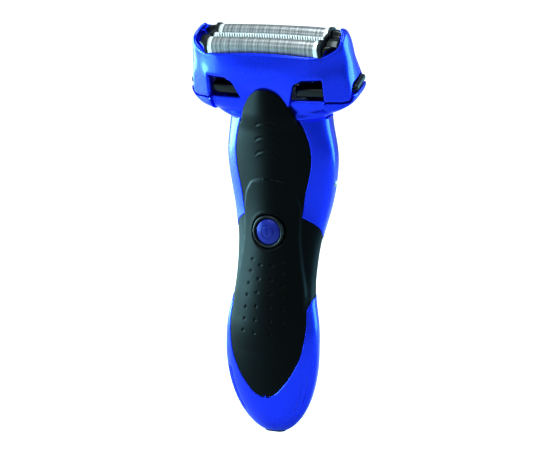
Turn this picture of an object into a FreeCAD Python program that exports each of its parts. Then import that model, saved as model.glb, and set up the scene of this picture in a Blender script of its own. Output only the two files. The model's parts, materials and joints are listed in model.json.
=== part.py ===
import FreeCAD, Part
import os
from math import cos, pi, radians, sin, sqrt

os.makedirs("parts", exist_ok=True)

# Electric foil shaver with a tilted three-element head, a lift-off head frame
# and a pop-up trimmer on its back. Millimetres. +Z runs up the handle, +X to the
# right and the front faces -Y. The origin is the centre of the charging end.
# Pieces of the head are drawn in the head's own frame (x, u, h), where u points
# to the back across the foils and h points out of the shaving side, and are then
# set in place by to_head().

V = FreeCAD.Vector

# ---------------------------------------------------------------- driving sizes
# Handle outline: (height, centre depth, half width, half depth) of its ovals.
OVAL_POWER = 2.1
HANDLE_RINGS = (
    (36.0, -3.4, 19.6, 11.3),
    (46.0, -2.6, 19.0, 11.6),
    (56.0, -1.4, 17.4, 11.6),
    (66.0, 0.6, 16.8, 11.5),
    (76.0, 3.2, 16.9, 12.4),
    (86.0, 5.9, 18.2, 14.1),
    (97.0, 7.3, 20.8, 15.7),
    (110.0, 6.9, 22.1, 16.5),
    (122.0, 6.1, 21.6, 16.1),
    (136.0, 5.5, 20.4, 15.6),
)
TAIL_RISE = 38.0                 # vertical half-axis of the rounded lower end
TAIL_HEIGHTS = (0.0, 1.2, 4.0, 9.0, 16.0, 26.0)

CASING_WALL = 2.6                # from the outer surface to the cavity
GRIP_SKIN = 1.2                  # depth of the rubber inlaid in the casings
CAVITY_FLOOR = 12.0
SEAL_WIDTH = 1.4
SEAL_THICK = 0.8

# Head frame of reference.
HEAD_TILT = 22.0
HEAD_Y = 11.5
HEAD_Z = 113.7

# Head rings: (h, half width, front u, back u, power of the rounded outline).
NECK_H = 12.0
FRAME_BOTTOM = 22.0
BASE_RINGS = (
    (NECK_H, 21.3, -16.2, 15.0, 2.2),
    (17.0, 28.6, -14.6, 14.0, 2.7),
    (FRAME_BOTTOM, 33.0, -13.3, 13.6, 3.2),
)
FRAME_RINGS = (
    (FRAME_BOTTOM, 33.2, -13.3, 13.6, 3.2),
    (30.0, 33.4, -13.4, 13.8, 3.2),
    (38.0, 32.2, -13.2, 13.4, 3.2),
    (44.0, 30.6, -12.2, 12.4, 3.2),
    (48.5, 28.9, -11.2, 11.4, 3.4),
)
HEAD_WALL = 2.0
BODY_GAP = 0.3                   # clearance between pieces that part or move
LIP_H = 44.0                     # front and back lip of the head frame
LIP_HALF_WIDTH = 25.0
FRAME_LIFT = 26.0

# Shaving elements, in the head frame.
FOIL_HALF = 23.1
FOIL_PITCH = 5.4                 # from the middle blade to each foil
FOIL_R = 3.3
FOIL_CREST = 50.0
FOIL_THICK = 0.35
FOIL_SKIRT = 41.5
SLIT_HALF_U = 1.5
SLIT_CREST = 49.2
SLIT_THICK = 0.4
SLIT_PITCH = 1.9
SLIT_WIDTH = 0.7
FLOAT = 1.2                      # travel of each floating element
HOLDER_END = 1.2
HOLDER_BOTTOM = 38.6
CASSETTE_HALF_X = 27.0
CASSETTE_HALF_U = 10.6
CASSETTE_WALL_U = 1.0
CASSETTE_BOTTOM = 38.0
CASSETTE_TOP = 43.8
CASSETTE_END_TOP = 47.0

# Release buttons in the frame's side walls.
BUTTON_U0, BUTTON_U1 = -5.0, 8.6
RELEASE_LOW, RELEASE_HIGH = 26.2, 31.8
RELEASE_OUT = 35.6
RELEASE_TRAVEL = 1.2
FLANGE_X = 28.6                  # where the pad meets its inner flange
LEG_X = 25.4                     # outer face of the cassette's spring legs
PAD_ROUND = 2.4

# Windows in the frame's front wall: corners (x, h), and the towers behind them.
WINDOW = ((12.6, 27.2), (24.2, 26.8), (24.2, 35.4), (15.6, 35.6))
TOWER_TOP = 31.0

# Drive, in the head frame.
DECK_LOW = 15.4
DECK_THICK = 2.2
BRACKET_THICK = 1.5
MOTOR_HALF_X = 7.7
MOTOR_HALF_U = 6.0
MOTOR_LENGTH = 16.0
SHAFT_R = 1.0
RUNNING_GAP = 0.05
CAM_R = 3.4
CAM_LOW = 18.4
CAM_THICK = 3.5
ECCENTRICITY = 1.1
DRIVE_PIN_R = 1.0
DRIVE_PIN_TOP = 26.4
BRIDGE_LOW = 23.2
BRIDGE_THICK = 5.8
BRIDGE_HALF_X = 13.0
BRIDGE_HALF_U = 4.2
STROKE = 1.0                     # each way, along X
POST_R = 1.5
POST_TOP = 38.2
CARRIER_LOW = 34.0
CARRIER_TOP = 42.0
CARRIER_HALF_X = 4.0
BLADE_HALF = 20.8
BLADE_GAP = 0.25                 # inner blade to foil
FIN_PITCH = 2.4
FIN_SLOT = 1.0
FLEXURE_THICK = 0.5
SHAFT_SEAL_R = 4.6
MOTOR_BOSS_R = 2.6
BRACKET_SCREW_X = 9.4
BRACKET_SCREW_R = 0.9
BRACKET_HEAD_R = 1.6

# Power button and its switch, on the front centre line.
BUTTON_Z = 82.6
BUTTON_R = 5.1
BUTTON_FACE_Y = -8.9
BUTTON_TRAVEL = 0.6
RING_BAND = 1.3                  # width of the black ring round the button
RING_R = BUTTON_R + RING_BAND
RING_FRONT_Y = -8.1
BUTTON_CROWN = 0.9
BUTTON_CAP_BACK = -6.4
BUTTON_FLANGE_BACK = -5.6
BUTTON_FLANGE = 0.7
STEM_R = 1.5
BOARD_Y = -2.4                   # front face of the circuit board
BOARD_THICK = 1.2
BOARD_HALF = 9.5
BOARD_LOW = 73.0
BOARD_HIGH = 101.0
SWITCH_SIDE = 6.0
SWITCH_HIGH = 1.6

# Power cells.
CELL_R = 5.25
CELL_LENGTH = 44.5
CELL_LOW = V(0, -3.3, 23.0)
CELL_LEAN = 5.0                  # degrees back from upright
CHASSIS_THICK = 1.3
CHASSIS_HALF = 11.6
CHASSIS_LIP = 2.0
STRAP_THICK = 0.25
STRAP_HALF = 1.6
NIPPLE_R = 1.9
NIPPLE_HIGH = 1.0

# Charging socket in the lower end.
SOCKET_HALF_X = 4.2
SOCKET_HALF_Y = 2.35
SOCKET_WALL = 0.9
SOCKET_DEPTH = 8.0
SOCKET_PIN_R = 0.6
SOCKET_PIN_X = 1.9
SOCKET_PIN_TIP = 3.5             # pin tips stay this far inside the mouth

# Rubber grip outline on the front: (half width, height) up the edge.
GRIP_LOW_Z = 17.0
GRIP_EDGE = ((9.5, 21.5), (14.5, 29.5), (16.0, 38.0), (16.2, 50.0), (17.4, 59.0), (19.5, 63.0))
GRIP_WAIST_TOP = 84.0
GRIP_UPPER_EDGE = ((14.2, 89.0), (15.0, 100.0), (15.2, 110.0), (13.8, 120.0), (12.4, 127.0))
TONGUE_TOP_Z = 138.6
TONGUE_TOP_Y = -12.7
TONGUE_THICK = 2.8
TONGUE_CROWN_R = 32.0
TONGUE_FOOT_Y = -9.4
TONGUE_FOOT_Z = 108.0

# Pop-up trimmer on the back.
DOOR_HALF = 11.5
DOOR_FRONT_Y = 22.4
DOOR_BACK_Y = 24.2
DOOR_ROUND = 1.4
RAIL_THICK = 1.3
RAIL_DEEP = 1.6                  # from the pin's axis to the front of the rails
COMB_THICK = 0.6
COMB_LOW = 119.0
DOOR_LOW = 105.4
DOOR_HIGH = 128.0
POCKET_Y = 19.5
POCKET_WALL = 1.4
PIN_Y = 21.6
PIN_Z = 107.2
TRIMMER_PIN_R = 0.9
BARREL_R = 1.8
COMB_HALF = 9.6
SLIDER_Y = 23.5
SLIDER_LOW = 92.6
SLIDER_TALL = 6.4
SLIDER_TRAVEL = 4.0

# Fasteners.
CASING_SCREWS = ((13.3, 30.0), (13.3, 90.0))
SCREW_R = 1.0
SCREW_HEAD_R = 1.9
BOSS_R = 2.3

PIP_Z = 100.7
PIP_R = 1.3
PIP_OUT = 0.7


# ---------------------------------------------------------------- small helpers
def box(x0, x1, y0, y1, z0, z1):
    return Part.makeBox(x1 - x0, y1 - y0, z1 - z0, V(x0, y0, z0))


def rod(radius, start, direction, length):
    return Part.makeCylinder(radius, length, start, direction)


def fuse(*shapes):
    whole = shapes[0]
    for other in shapes[1:]:
        whole = whole.fuse(other)
    return whole.removeSplitter()


def mirror_x(shape):
    return shape.mirror(V(0, 0, 0), V(1, 0, 0))


def to_head(shape):
    turn = FreeCAD.Rotation(V(1, 0, 0), HEAD_TILT)
    placed = shape.copy()
    placed.Placement = FreeCAD.Placement(V(0, HEAD_Y, HEAD_Z), turn).multiply(placed.Placement)
    return placed


def head_point(u, h):
    tilt = radians(HEAD_TILT)
    return V(0, HEAD_Y + u * cos(tilt) - h * sin(tilt), HEAD_Z + u * sin(tilt) + h * cos(tilt))


def save(name, shape):
    solids = shape.Solids
    kept = solids[0] if len(solids) == 1 else Part.makeCompound(solids)
    kept.exportStep("parts/" + name + ".step")
    print(name, len(solids), round(shape.Volume, 1), shape.isValid())


def oval_wire(half_width, front, back, z, power, count=20):
    """Closed rounded outline: a superellipse between the front and the back."""
    middle = (front + back) / 2
    depth = (back - front) / 2
    points = []
    for step in range(count):
        angle = 2 * pi * (step + 0.5) / count
        c, s = cos(angle), sin(angle)
        x = half_width * abs(c) ** (2 / power) * (1 if c > 0 else -1)
        y = middle + depth * abs(s) ** (2 / power) * (1 if s > 0 else -1)
        points.append(V(x, y, z))
    curve = Part.BSplineCurve()
    curve.interpolate(Points=points, PeriodicFlag=True)
    return Part.Wire(curve.toShape())


def handle_rings():
    """Ovals up the handle; below the belly they follow an elliptic arc."""
    belly_z, belly_y, belly_w, belly_d = HANDLE_RINGS[0]
    rings = []
    for z in TAIL_HEIGHTS:
        share = sqrt(1 - ((belly_z - z) / TAIL_RISE) ** 2)
        lean = min(1.0, z / (0.6 * belly_z))
        centre = belly_y * lean * lean * (3 - 2 * lean)
        rings.append((z, centre, belly_w * share, belly_d * share))
    return rings + list(HANDLE_RINGS)


def handle_solid(inset=0.0, low=0.0):
    wires = []
    for z, y, half_width, half_depth in handle_rings():
        if z >= low:
            wires.append(oval_wire(half_width - inset, y - half_depth + inset,
                                   y + half_depth - inset, z, OVAL_POWER))
    return Part.makeLoft(wires, True, False)


def ring_solid(rings, inset=0.0):
    wires = [oval_wire(w - inset, front + inset, back - inset, h, power)
             for h, w, front, back, power in rings]
    return Part.makeLoft(wires, True, False)


def split_curve_points():
    return [V(0, y, z) for z, y, _w, _d in handle_rings()]


def front_region(shift=0.0):
    """Everything in front of the parting surface, moved back by shift."""
    points = [p + V(0, shift, 0) for p in split_curve_points()]
    points = [points[0] + V(0, 0, -5)] + points
    curve = Part.BSplineCurve()
    curve.interpolate(points)
    far = -60.0
    edge = curve.toShape()
    first, last = points[0], points[-1]
    side = Part.makePolygon([last, V(0, far, last.z), V(0, far, first.z), first])
    face = Part.Face(Part.Wire([edge] + side.Edges))
    face.translate(V(-50, 0, 0))
    return face.extrude(V(100, 0, 0))


def edge_curve(points):
    curve = Part.BSplineCurve()
    curve.interpolate(points)
    return curve.toShape()


def grip_prism(margin=0.0):
    """Hourglass outline of the rubber, drawn on XZ and run from front to back."""
    wide = 30.0
    lower = [V(0, 0, GRIP_LOW_Z)] + [V(x, 0, z) for x, z in GRIP_EDGE]
    upper = [V(x, 0, z) for x, z in GRIP_UPPER_EDGE]
    edges = [edge_curve(lower)]
    corners = [lower[-1], V(wide, 0, 66.0), V(wide, 0, GRIP_WAIST_TOP), V(17.8, 0, GRIP_WAIST_TOP), upper[0]]
    edges += Part.makePolygon(corners).Edges
    edges.append(edge_curve(upper))
    tip = upper[-1]
    edges += Part.makePolygon([tip, V(0, 0, tip.z), V(0, 0, GRIP_LOW_Z)]).Edges
    half = Part.Face(Part.Wire(edges))
    half.translate(V(0, -60, 0))
    prism = half.extrude(V(0, 120, 0))
    return fuse(prism, mirror_x(prism))


def tongue_solid(grow=0.0):
    """Rubber tongue that runs up over the front of the head."""
    half, low = GRIP_UPPER_EDGE[-1]
    foot_half, foot = GRIP_UPPER_EDGE[2]
    side = [V(foot_half + grow, 0, foot), V(half + 1.1 + grow, 0, low - 7.0), V(half + grow, 0, low),
            V(half * 0.72 + grow, 0, low + 7.6), V(half * 0.36 + grow, 0, TONGUE_TOP_Z - 1.0 + grow * 0.8),
            V(0, 0, TONGUE_TOP_Z + grow)]
    curve = Part.BSplineCurve()
    curve.interpolate(Points=side, InitialTangent=V(0, 0, 12), FinalTangent=V(-12, 0, 0))
    close = Part.makePolygon([side[-1], V(0, 0, foot), side[0]])
    half_face = Part.Face(Part.Wire([curve.toShape()] + close.Edges))
    half_face.translate(V(0, -40, 0))
    slab = half_face.extrude(V(0, 60, 0))
    return fuse(slab, mirror_x(slab))


def tongue_profile():
    """Side view of the tongue: it leans forward and keeps its thickness."""
    top, back = TONGUE_TOP_Y, TONGUE_TOP_Y + TONGUE_THICK
    corners = [V(0, TONGUE_FOOT_Y, TONGUE_FOOT_Z), V(0, top, TONGUE_TOP_Z + 2), V(0, back, TONGUE_TOP_Z + 2),
               V(0, -8.9, 128.5), V(0, -6.4, 115.0), V(0, -6.4, TONGUE_FOOT_Z)]
    face = Part.Face(Part.makePolygon(corners + [corners[0]]))
    face.translate(V(-30, 0, 0))
    return face.extrude(V(60, 0, 0))


def pin_rods():
    rise = SOCKET_DEPTH + 5.0 - SOCKET_PIN_TIP
    return [rod(SOCKET_PIN_R, V(x, 0, SOCKET_PIN_TIP), V(0, 0, 1), rise) for x in (-SOCKET_PIN_X, SOCKET_PIN_X)]


def tongue_crown():
    """Large upright cylinder that gives the tongue its crowned front."""
    run = V(0, TONGUE_TOP_Y - TONGUE_FOOT_Y, TONGUE_TOP_Z + 2 - TONGUE_FOOT_Z)
    start = V(0, TONGUE_FOOT_Y + TONGUE_CROWN_R, TONGUE_FOOT_Z) - run * 0.5
    return rod(TONGUE_CROWN_R, start, run, run.Length * 2)


def head_space(low, high):
    """Block of space between two heights of the head frame."""
    return to_head(box(-80, 80, -80, 80, low, high))


# ---------------------------------------------------------------- handle shells
outer = handle_solid().cut(head_space(NECK_H, 200))
under_grip = handle_solid(GRIP_SKIN, TAIL_HEIGHTS[3])
cavity = handle_solid(CASING_WALL, CAVITY_FLOOR)
front_side = front_region()
grip_area = grip_prism()

shell = outer.cut(cavity)
inlay = grip_area.cut(under_grip)
rear_inlay = inlay.common(box(-60, 60, -60, 60, GRIP_LOW_Z, GRIP_WAIST_TOP + 3.0))
tongue = tongue_solid().common(tongue_profile()).common(tongue_crown())
base_outer = to_head(ring_solid(BASE_RINGS))

seal_band = cavity.cut(handle_solid(CASING_WALL + SEAL_THICK, CAVITY_FLOOR))
seal_band = seal_band.common(front_region(SEAL_WIDTH)).cut(front_region(-SEAL_WIDTH))
seal_band = seal_band.common(box(-60, 60, -60, 60, TAIL_HEIGHTS[4], BOARD_HIGH))

button_bore = rod(RING_R, V(0, -20, BUTTON_Z), V(0, 1, 0), 17.0)
socket_block = box(-SOCKET_HALF_X - SOCKET_WALL, SOCKET_HALF_X + SOCKET_WALL,
                   -SOCKET_HALF_Y - SOCKET_WALL, SOCKET_HALF_Y + SOCKET_WALL,
                   -1, SOCKET_DEPTH + 2.0)


def pocket(margin, wall_front):
    return box(-DOOR_HALF - margin, DOOR_HALF + margin, wall_front, 40,
               DOOR_LOW - DOOR_ROUND - (margin - BODY_GAP), DOOR_HIGH + margin)


def casing_bosses():
    bosses, holes, heads = [], [], []
    for x, z in CASING_SCREWS:
        for side in (-x, x):
            bosses.append(rod(BOSS_R, V(side, -30, z), V(0, 1, 0), 60))
            holes.append(rod(SCREW_R, V(side, screw_tip(z), z), V(0, 1, 0), 60))
            heads.append(rod(SCREW_HEAD_R, V(side, screw_head(z), z), V(0, 1, 0), 40))
    return bosses, holes, heads


def ring_at(z):
    rings = handle_rings()
    for low, high in zip(rings, rings[1:]):
        if low[0] <= z <= high[0]:
            t = (z - low[0]) / (high[0] - low[0])
            return [a + (b - a) * t for a, b in zip(low, high)]
    return rings[-1]


def screw_tip(z):
    return ring_at(z)[1] - 5.0


def screw_head(z):
    return ring_at(z)[1] + 4.5


bosses, screw_holes, head_holes = casing_bosses()
pocket_block = pocket(BODY_GAP + POCKET_WALL, POCKET_Y - POCKET_WALL)
pocket_space = pocket(BODY_GAP, POCKET_Y)
slider_slot = box(-1.8, 1.8, 10, 40, SLIDER_LOW + 1.6, SLIDER_LOW + SLIDER_TALL + SLIDER_TRAVEL - 1.6)
trimmer_pin = rod(TRIMMER_PIN_R, V(-DOOR_HALF - 1.2, PIN_Y, PIN_Z), V(1, 0, 0), 2 * DOOR_HALF + 2.4)

hollow = cavity.cut(pocket_block)
for boss in bosses:
    hollow = hollow.cut(boss)

front_shell = outer.cut(inlay).cut(hollow).common(front_side)
front_shell = front_shell.cut(button_bore).cut(socket_block).cut(tongue).cut(base_outer)
rear_shell = outer.cut(rear_inlay).cut(hollow).cut(front_side)
rear_shell = rear_shell.cut(pocket_space).cut(slider_slot).cut(socket_block)
rear_grip = outer.common(rear_inlay).cut(front_side)
for hole in screw_holes:
    front_shell = front_shell.cut(hole)
    rear_shell = rear_shell.cut(hole)
for hole in head_holes:
    rear_shell = rear_shell.cut(hole)
    rear_grip = rear_grip.cut(hole)
rear_shell = rear_shell.cut(trimmer_pin)
for pin in pin_rods():
    front_shell = front_shell.cut(pin)
    rear_shell = rear_shell.cut(pin)


def side_pips():
    """Two small nubs near the shoulders that hold the travel cap."""
    _z, y, half_width, _d = ring_at(PIP_Z)
    nub = rod(PIP_R, V(half_width - 1.5, y, PIP_Z), V(1, 0, 0), 1.5 + PIP_OUT)
    return nub, mirror_x(nub)


for nub in side_pips():
    rear_shell = rear_shell.fuse(nub.cut(cavity).cut(front_side))
    front_shell = front_shell.fuse(nub.cut(cavity).common(front_side))

front_grip = fuse(outer.common(inlay).common(front_side).cut(button_bore), tongue.cut(under_grip))

save("front_casing", front_shell)
save("rear_casing", rear_shell)
save("front_grip", front_grip)
save("rear_grip", rear_grip)
save("casing_seal", seal_band)


# ---------------------------------------------------------------- inside the handle
def leaned(shape):
    """Set a piece drawn upright at the origin onto the leaning power cells."""
    placed = shape.copy()
    placed.Placement = FreeCAD.Placement(CELL_LOW, FreeCAD.Rotation(V(1, 0, 0), -CELL_LEAN))
    return placed


def power_cell(side):
    centre = side * (CELL_R + 0.1)
    can = rod(CELL_R, V(centre, 0, 0), V(0, 0, 1), CELL_LENGTH - NIPPLE_HIGH)
    can = can.makeFillet(0.6, can.Edges)
    nipple = rod(NIPPLE_R, V(centre, 0, CELL_LENGTH - NIPPLE_HIGH), V(0, 0, 1), NIPPLE_HIGH)
    return leaned(can.fuse(nipple))


def cell_straps():
    """Nickel strips: one joins the cells below, two lead off above."""
    reach = CELL_R + 1.8
    low = box(-reach, reach, -STRAP_HALF, STRAP_HALF, -STRAP_THICK, 0.0)
    high = box(2.0, reach, -STRAP_HALF, STRAP_HALF, CELL_LENGTH, CELL_LENGTH + STRAP_THICK)
    riser = box(2.0, 4.0, STRAP_HALF - STRAP_THICK, STRAP_HALF, CELL_LENGTH + STRAP_THICK, CELL_LENGTH + 2.6)
    upper = high.fuse(riser)
    return Part.makeCompound([leaned(low), leaned(upper), leaned(mirror_x(upper))])


def chassis_solid():
    """Back plate of the cells with a foot and ears, and a mast behind the board."""
    back = CELL_R
    plate = box(-CHASSIS_HALF, CHASSIS_HALF, back, back + CHASSIS_THICK, -1.6, CELL_LENGTH + 6.5)
    foot = box(-CELL_R - 3.0, CELL_R + 3.0, -2.4, back + 0.5, -1.6, -0.25)
    wings = box(-CHASSIS_HALF, -CHASSIS_HALF + 0.8, 1.0, back + 0.5, 6.0, CELL_LENGTH - 6.0)
    lower = leaned(fuse(plate, foot, wings, mirror_x(wings)))
    mast_y = BOARD_Y + BOARD_THICK + CHASSIS_LIP
    mast = box(-CHASSIS_HALF + 2, CHASSIS_HALF - 2, mast_y, mast_y + CHASSIS_THICK, 71.0, BOARD_HIGH + 3.0)
    shelf = box(-CHASSIS_HALF + 2, CHASSIS_HALF - 2, mast_y, mast_y + 5.5, 71.0, 72.4)
    posts = [rod(1.3, V(x, BOARD_Y + BOARD_THICK, z), V(0, 1, 0), CHASSIS_LIP + 0.3)
             for x in (-7.0, 7.0) for z in (BOARD_LOW + 2.5, BOARD_HIGH - 2.5)]
    return fuse(lower, mast, shelf, *posts)


def circuit_board():
    board = box(-BOARD_HALF, BOARD_HALF, BOARD_Y, BOARD_Y + BOARD_THICK, BOARD_LOW, BOARD_HIGH)
    return board


def board_parts():
    """Controller, charger coil and connector on the back and front of the board."""
    chip = box(-3.0, 3.0, BOARD_Y - 1.1, BOARD_Y, 91.0, 97.0)
    plug = box(-5.0, 5.0, BOARD_Y - 2.2, BOARD_Y, 73.6, 77.4)
    cap = rod(2.2, V(5.6, BOARD_Y + BOARD_THICK, 88.0), V(0, 1, 0), 1.7)
    return Part.makeCompound([chip, plug, cap])


def power_switch():
    half = SWITCH_SIDE / 2
    body = box(-half, half, BOARD_Y - SWITCH_HIGH, BOARD_Y, BUTTON_Z - half, BUTTON_Z + half)
    return body


STEM_END = BOARD_Y - SWITCH_HIGH - BUTTON_TRAVEL - 0.1


def power_button():
    """Domed cap with a retaining flange behind the ring and a stem to the switch."""
    big = (BUTTON_R ** 2 + BUTTON_CROWN ** 2) / (2 * BUTTON_CROWN)
    ball = Part.makeSphere(big, V(0, BUTTON_FACE_Y + big, BUTTON_Z))
    cap = rod(BUTTON_R, V(0, BUTTON_FACE_Y, BUTTON_Z), V(0, 1, 0), BUTTON_CAP_BACK - BUTTON_FACE_Y)
    cap = cap.common(ball)
    deep = BUTTON_FLANGE_BACK - BUTTON_CAP_BACK
    flange = rod(BUTTON_R + BUTTON_FLANGE, V(0, BUTTON_CAP_BACK, BUTTON_Z), V(0, 1, 0), deep)
    stem = rod(STEM_R, V(0, BUTTON_FLANGE_BACK, BUTTON_Z), V(0, 1, 0), STEM_END - BUTTON_FLANGE_BACK)
    return fuse(cap, flange, stem)


def button_ring():
    """Black guide ring seated in the front casing around the button."""
    front, back = RING_FRONT_Y, BUTTON_CAP_BACK - BODY_GAP
    ring = rod(RING_R, V(0, front, BUTTON_Z), V(0, 1, 0), back - front)
    bore = rod(BUTTON_R + 0.2, V(0, front - 1, BUTTON_Z), V(0, 1, 0), back - front + 2)
    return ring.cut(bore)


def button_seal():
    """Soft diaphragm under the button that keeps water out."""
    front = BUTTON_FLANGE_BACK + 0.05
    disc = rod(RING_R, V(0, front, BUTTON_Z), V(0, 1, 0), 0.5)
    return disc.cut(rod(STEM_R + 0.05, V(0, front - 1, BUTTON_Z), V(0, 1, 0), 3))


def charging_socket():
    """Insulator flush with the charging end, with the plug's recess in it."""
    block = handle_solid().common(socket_block)
    recess = box(-SOCKET_HALF_X, SOCKET_HALF_X, -SOCKET_HALF_Y, SOCKET_HALF_Y, -1, SOCKET_DEPTH)
    block = block.cut(recess)
    for pin in pin_rods():
        block = block.cut(pin)
    return block


def casing_screws():
    screws = []
    for x, z in CASING_SCREWS:
        for side in (-x, x):
            tip, head = screw_tip(z), screw_head(z)
            shank = rod(SCREW_R, V(side, tip, z), V(0, 1, 0), head - tip)
            cap = rod(SCREW_HEAD_R - 0.1, V(side, head, z), V(0, 1, 0), 1.2)
            slot = box(side - 1.3, side + 1.3, head + 0.7, head + 2, z - 0.25, z + 0.25)
            screws.append(shank.fuse(cap).cut(slot))
    return Part.makeCompound(screws)


save("battery_left", power_cell(-1))
save("battery_right", power_cell(1))
save("battery_straps", cell_straps())
save("chassis", chassis_solid().common(hollow))
save("circuit_board", circuit_board())
save("board_components", board_parts())
save("power_switch", power_switch())
save("power_button", power_button())
save("button_ring", button_ring())
save("button_seal", button_seal())
save("charging_socket", charging_socket())
save("socket_pins", Part.makeCompound(pin_rods()))
save("casing_screws", casing_screws())


# ---------------------------------------------------------------- head and drive
DECK_HIGH = DECK_LOW + DECK_THICK
BRIDGE_HIGH = BRIDGE_LOW + BRIDGE_THICK
FOIL_AXIS = FOIL_CREST - FOIL_R
ELEMENTS = (("front", -FOIL_PITCH), ("rear", FOIL_PITCH))
base_inner = ring_solid(BASE_RINGS, HEAD_WALL)
frame_inner = ring_solid(FRAME_RINGS[:3], HEAD_WALL)
frame_clear = ring_solid(FRAME_RINGS[:3], HEAD_WALL + BODY_GAP)


def z_rod(radius, x, u, low, high):
    return rod(radius, V(x, u, low), V(0, 0, 1), high - low)


def head_base():
    """Blue collar that widens from the neck to the wings of the head."""
    hull = ring_solid(BASE_RINGS).cut(box(-60, 60, -60, 60, FRAME_BOTTOM - BODY_GAP, 60))
    return to_head(hull.cut(base_inner)).cut(tongue)


def head_deck():
    """Black deck across the collar; the shaft and its seal pass through it."""
    deck = base_inner.common(box(-60, 60, -60, 60, DECK_LOW, DECK_HIGH))
    deck = deck.cut(z_rod(SHAFT_SEAL_R, 0, 0, DECK_LOW - 1, DECK_HIGH + 1))
    rest = box(-9.0, 9.0, -10.8, -8.6, DECK_HIGH - 0.5, 27.0)
    return to_head(fuse(deck, rest)).cut(tongue)


def head_block():
    """Black tower behind a window of the frame; it carries the frame's catch."""
    wide = box(11.6, 25.0, -14.0, -6.4, FRAME_BOTTOM + BODY_GAP, TOWER_TOP).common(frame_clear)
    foot = box(12.6, 20.0, -9.2, -6.4, DECK_HIGH, FRAME_BOTTOM + 1)
    return fuse(wide, foot)


def motor_can():
    low = DECK_LOW - BRACKET_THICK - MOTOR_LENGTH
    can = box(-MOTOR_HALF_X, MOTOR_HALF_X, -MOTOR_HALF_U, MOTOR_HALF_U, low, DECK_LOW - BRACKET_THICK)
    upright = [e for e in can.Edges if abs(e.tangentAt(e.FirstParameter).z) > 0.9]
    can = can.makeFillet(3.4, upright)
    boss = z_rod(MOTOR_BOSS_R, 0, 0, DECK_LOW - BRACKET_THICK, DECK_LOW)
    bore = z_rod(SHAFT_R + RUNNING_GAP, 0, 0, low + 3.0, DECK_LOW + 1)
    tabs = fuse(box(-4.6, -3.4, -0.3, 0.3, low - 2.0, low), box(3.4, 4.6, -0.3, 0.3, low - 2.0, low))
    return to_head(can.fuse(boss).fuse(tabs).cut(bore))


def motor_bracket():
    plate = box(-11.5, 11.5, -8.0, 8.0, DECK_LOW - BRACKET_THICK, DECK_LOW)
    plate = plate.cut(z_rod(MOTOR_BOSS_R, 0, 0, 0, 20))
    for x in (-BRACKET_SCREW_X, BRACKET_SCREW_X):
        plate = plate.cut(z_rod(BRACKET_SCREW_R, x, 0, 0, 20))
    return to_head(plate)


def bracket_screws():
    screws = []
    for x in (-BRACKET_SCREW_X, BRACKET_SCREW_X):
        shank = z_rod(BRACKET_SCREW_R, x, 0, DECK_LOW - BRACKET_THICK, DECK_LOW)
        cap = z_rod(BRACKET_HEAD_R, x, 0, DECK_LOW - BRACKET_THICK - 1.0, DECK_LOW - BRACKET_THICK)
        screws.append(to_head(shank.fuse(cap)))
    return Part.makeCompound(screws)


def shaft_seal():
    ring = z_rod(SHAFT_SEAL_R, 0, 0, DECK_LOW, DECK_HIGH).cut(z_rod(SHAFT_R + RUNNING_GAP, 0, 0, 0, 30))
    return to_head(ring)


def motor_shaft():
    low = DECK_LOW - BRACKET_THICK - MOTOR_LENGTH + 3.3
    return to_head(z_rod(SHAFT_R, 0, 0, low, CAM_LOW + CAM_THICK - 0.5))


def eccentric_cam():
    disc = z_rod(CAM_R, 0, 0, CAM_LOW, CAM_LOW + CAM_THICK)
    disc = disc.cut(z_rod(SHAFT_R, 0, 0, CAM_LOW - 1, CAM_LOW + CAM_THICK - 0.5))
    relief = box(-CAM_R, CAM_R, 1.7, CAM_R, CAM_LOW + 1.6, CAM_LOW + CAM_THICK)
    pin = z_rod(DRIVE_PIN_R, 0, -ECCENTRICITY, CAM_LOW + CAM_THICK, DRIVE_PIN_TOP)
    return to_head(disc.cut(relief).fuse(pin))


def oscillator():
    """Bridge with a driven slot below and three posts that carry the blades."""
    bridge = box(-BRIDGE_HALF_X, BRIDGE_HALF_X, -BRIDGE_HALF_U, BRIDGE_HALF_U, BRIDGE_LOW, BRIDGE_HIGH)
    room = DRIVE_PIN_R + ECCENTRICITY + 0.3
    slot_x = room + STROKE
    slot = box(-slot_x, slot_x, -room, room, BRIDGE_LOW - 1, DRIVE_PIN_TOP + 0.6)
    arm = box(-2.6, 2.6, -FOIL_PITCH - 2.2, FOIL_PITCH + 2.2, BRIDGE_HIGH - 2.0, BRIDGE_HIGH)
    posts = [z_rod(POST_R, 0, u, BRIDGE_HIGH - 0.5, POST_TOP) for u in (-FOIL_PITCH, 0.0, FOIL_PITCH)]
    return to_head(fuse(bridge, arm, *posts).cut(slot))


def flexures():
    """Two thin leaves that stand on the deck and let the bridge swing sideways."""
    leaves = []
    for side in (-1, 1):
        x0 = side * BRIDGE_HALF_X if side > 0 else -BRIDGE_HALF_X - FLEXURE_THICK
        leaves.append(to_head(box(x0, x0 + FLEXURE_THICK, -3.4, 3.4, DECK_HIGH, BRIDGE_HIGH - 1.5)))
    return Part.makeCompound(leaves)


def blade_carrier(u):
    roof = POST_TOP + FLOAT + BODY_GAP
    block = box(-CARRIER_HALF_X, CARRIER_HALF_X, u - 2.4, u + 2.4, CARRIER_LOW, roof + 0.3)
    half_u = 1.9 if u else 1.1
    bar = box(-BLADE_HALF, BLADE_HALF, u - half_u, u + half_u, roof - 0.5, CARRIER_TOP)
    bore = z_rod(POST_R + BODY_GAP, 0, u, CARRIER_LOW - 1, roof)
    return to_head(block.fuse(bar).cut(bore))


def fin_slots(u, half_u, low):
    count = int(BLADE_HALF / FIN_PITCH)
    slots = [box(x * FIN_PITCH - FIN_SLOT / 2, x * FIN_PITCH + FIN_SLOT / 2, u - half_u, u + half_u, low, 60)
             for x in range(-count, count + 1)]
    return Part.makeCompound(slots)


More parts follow.
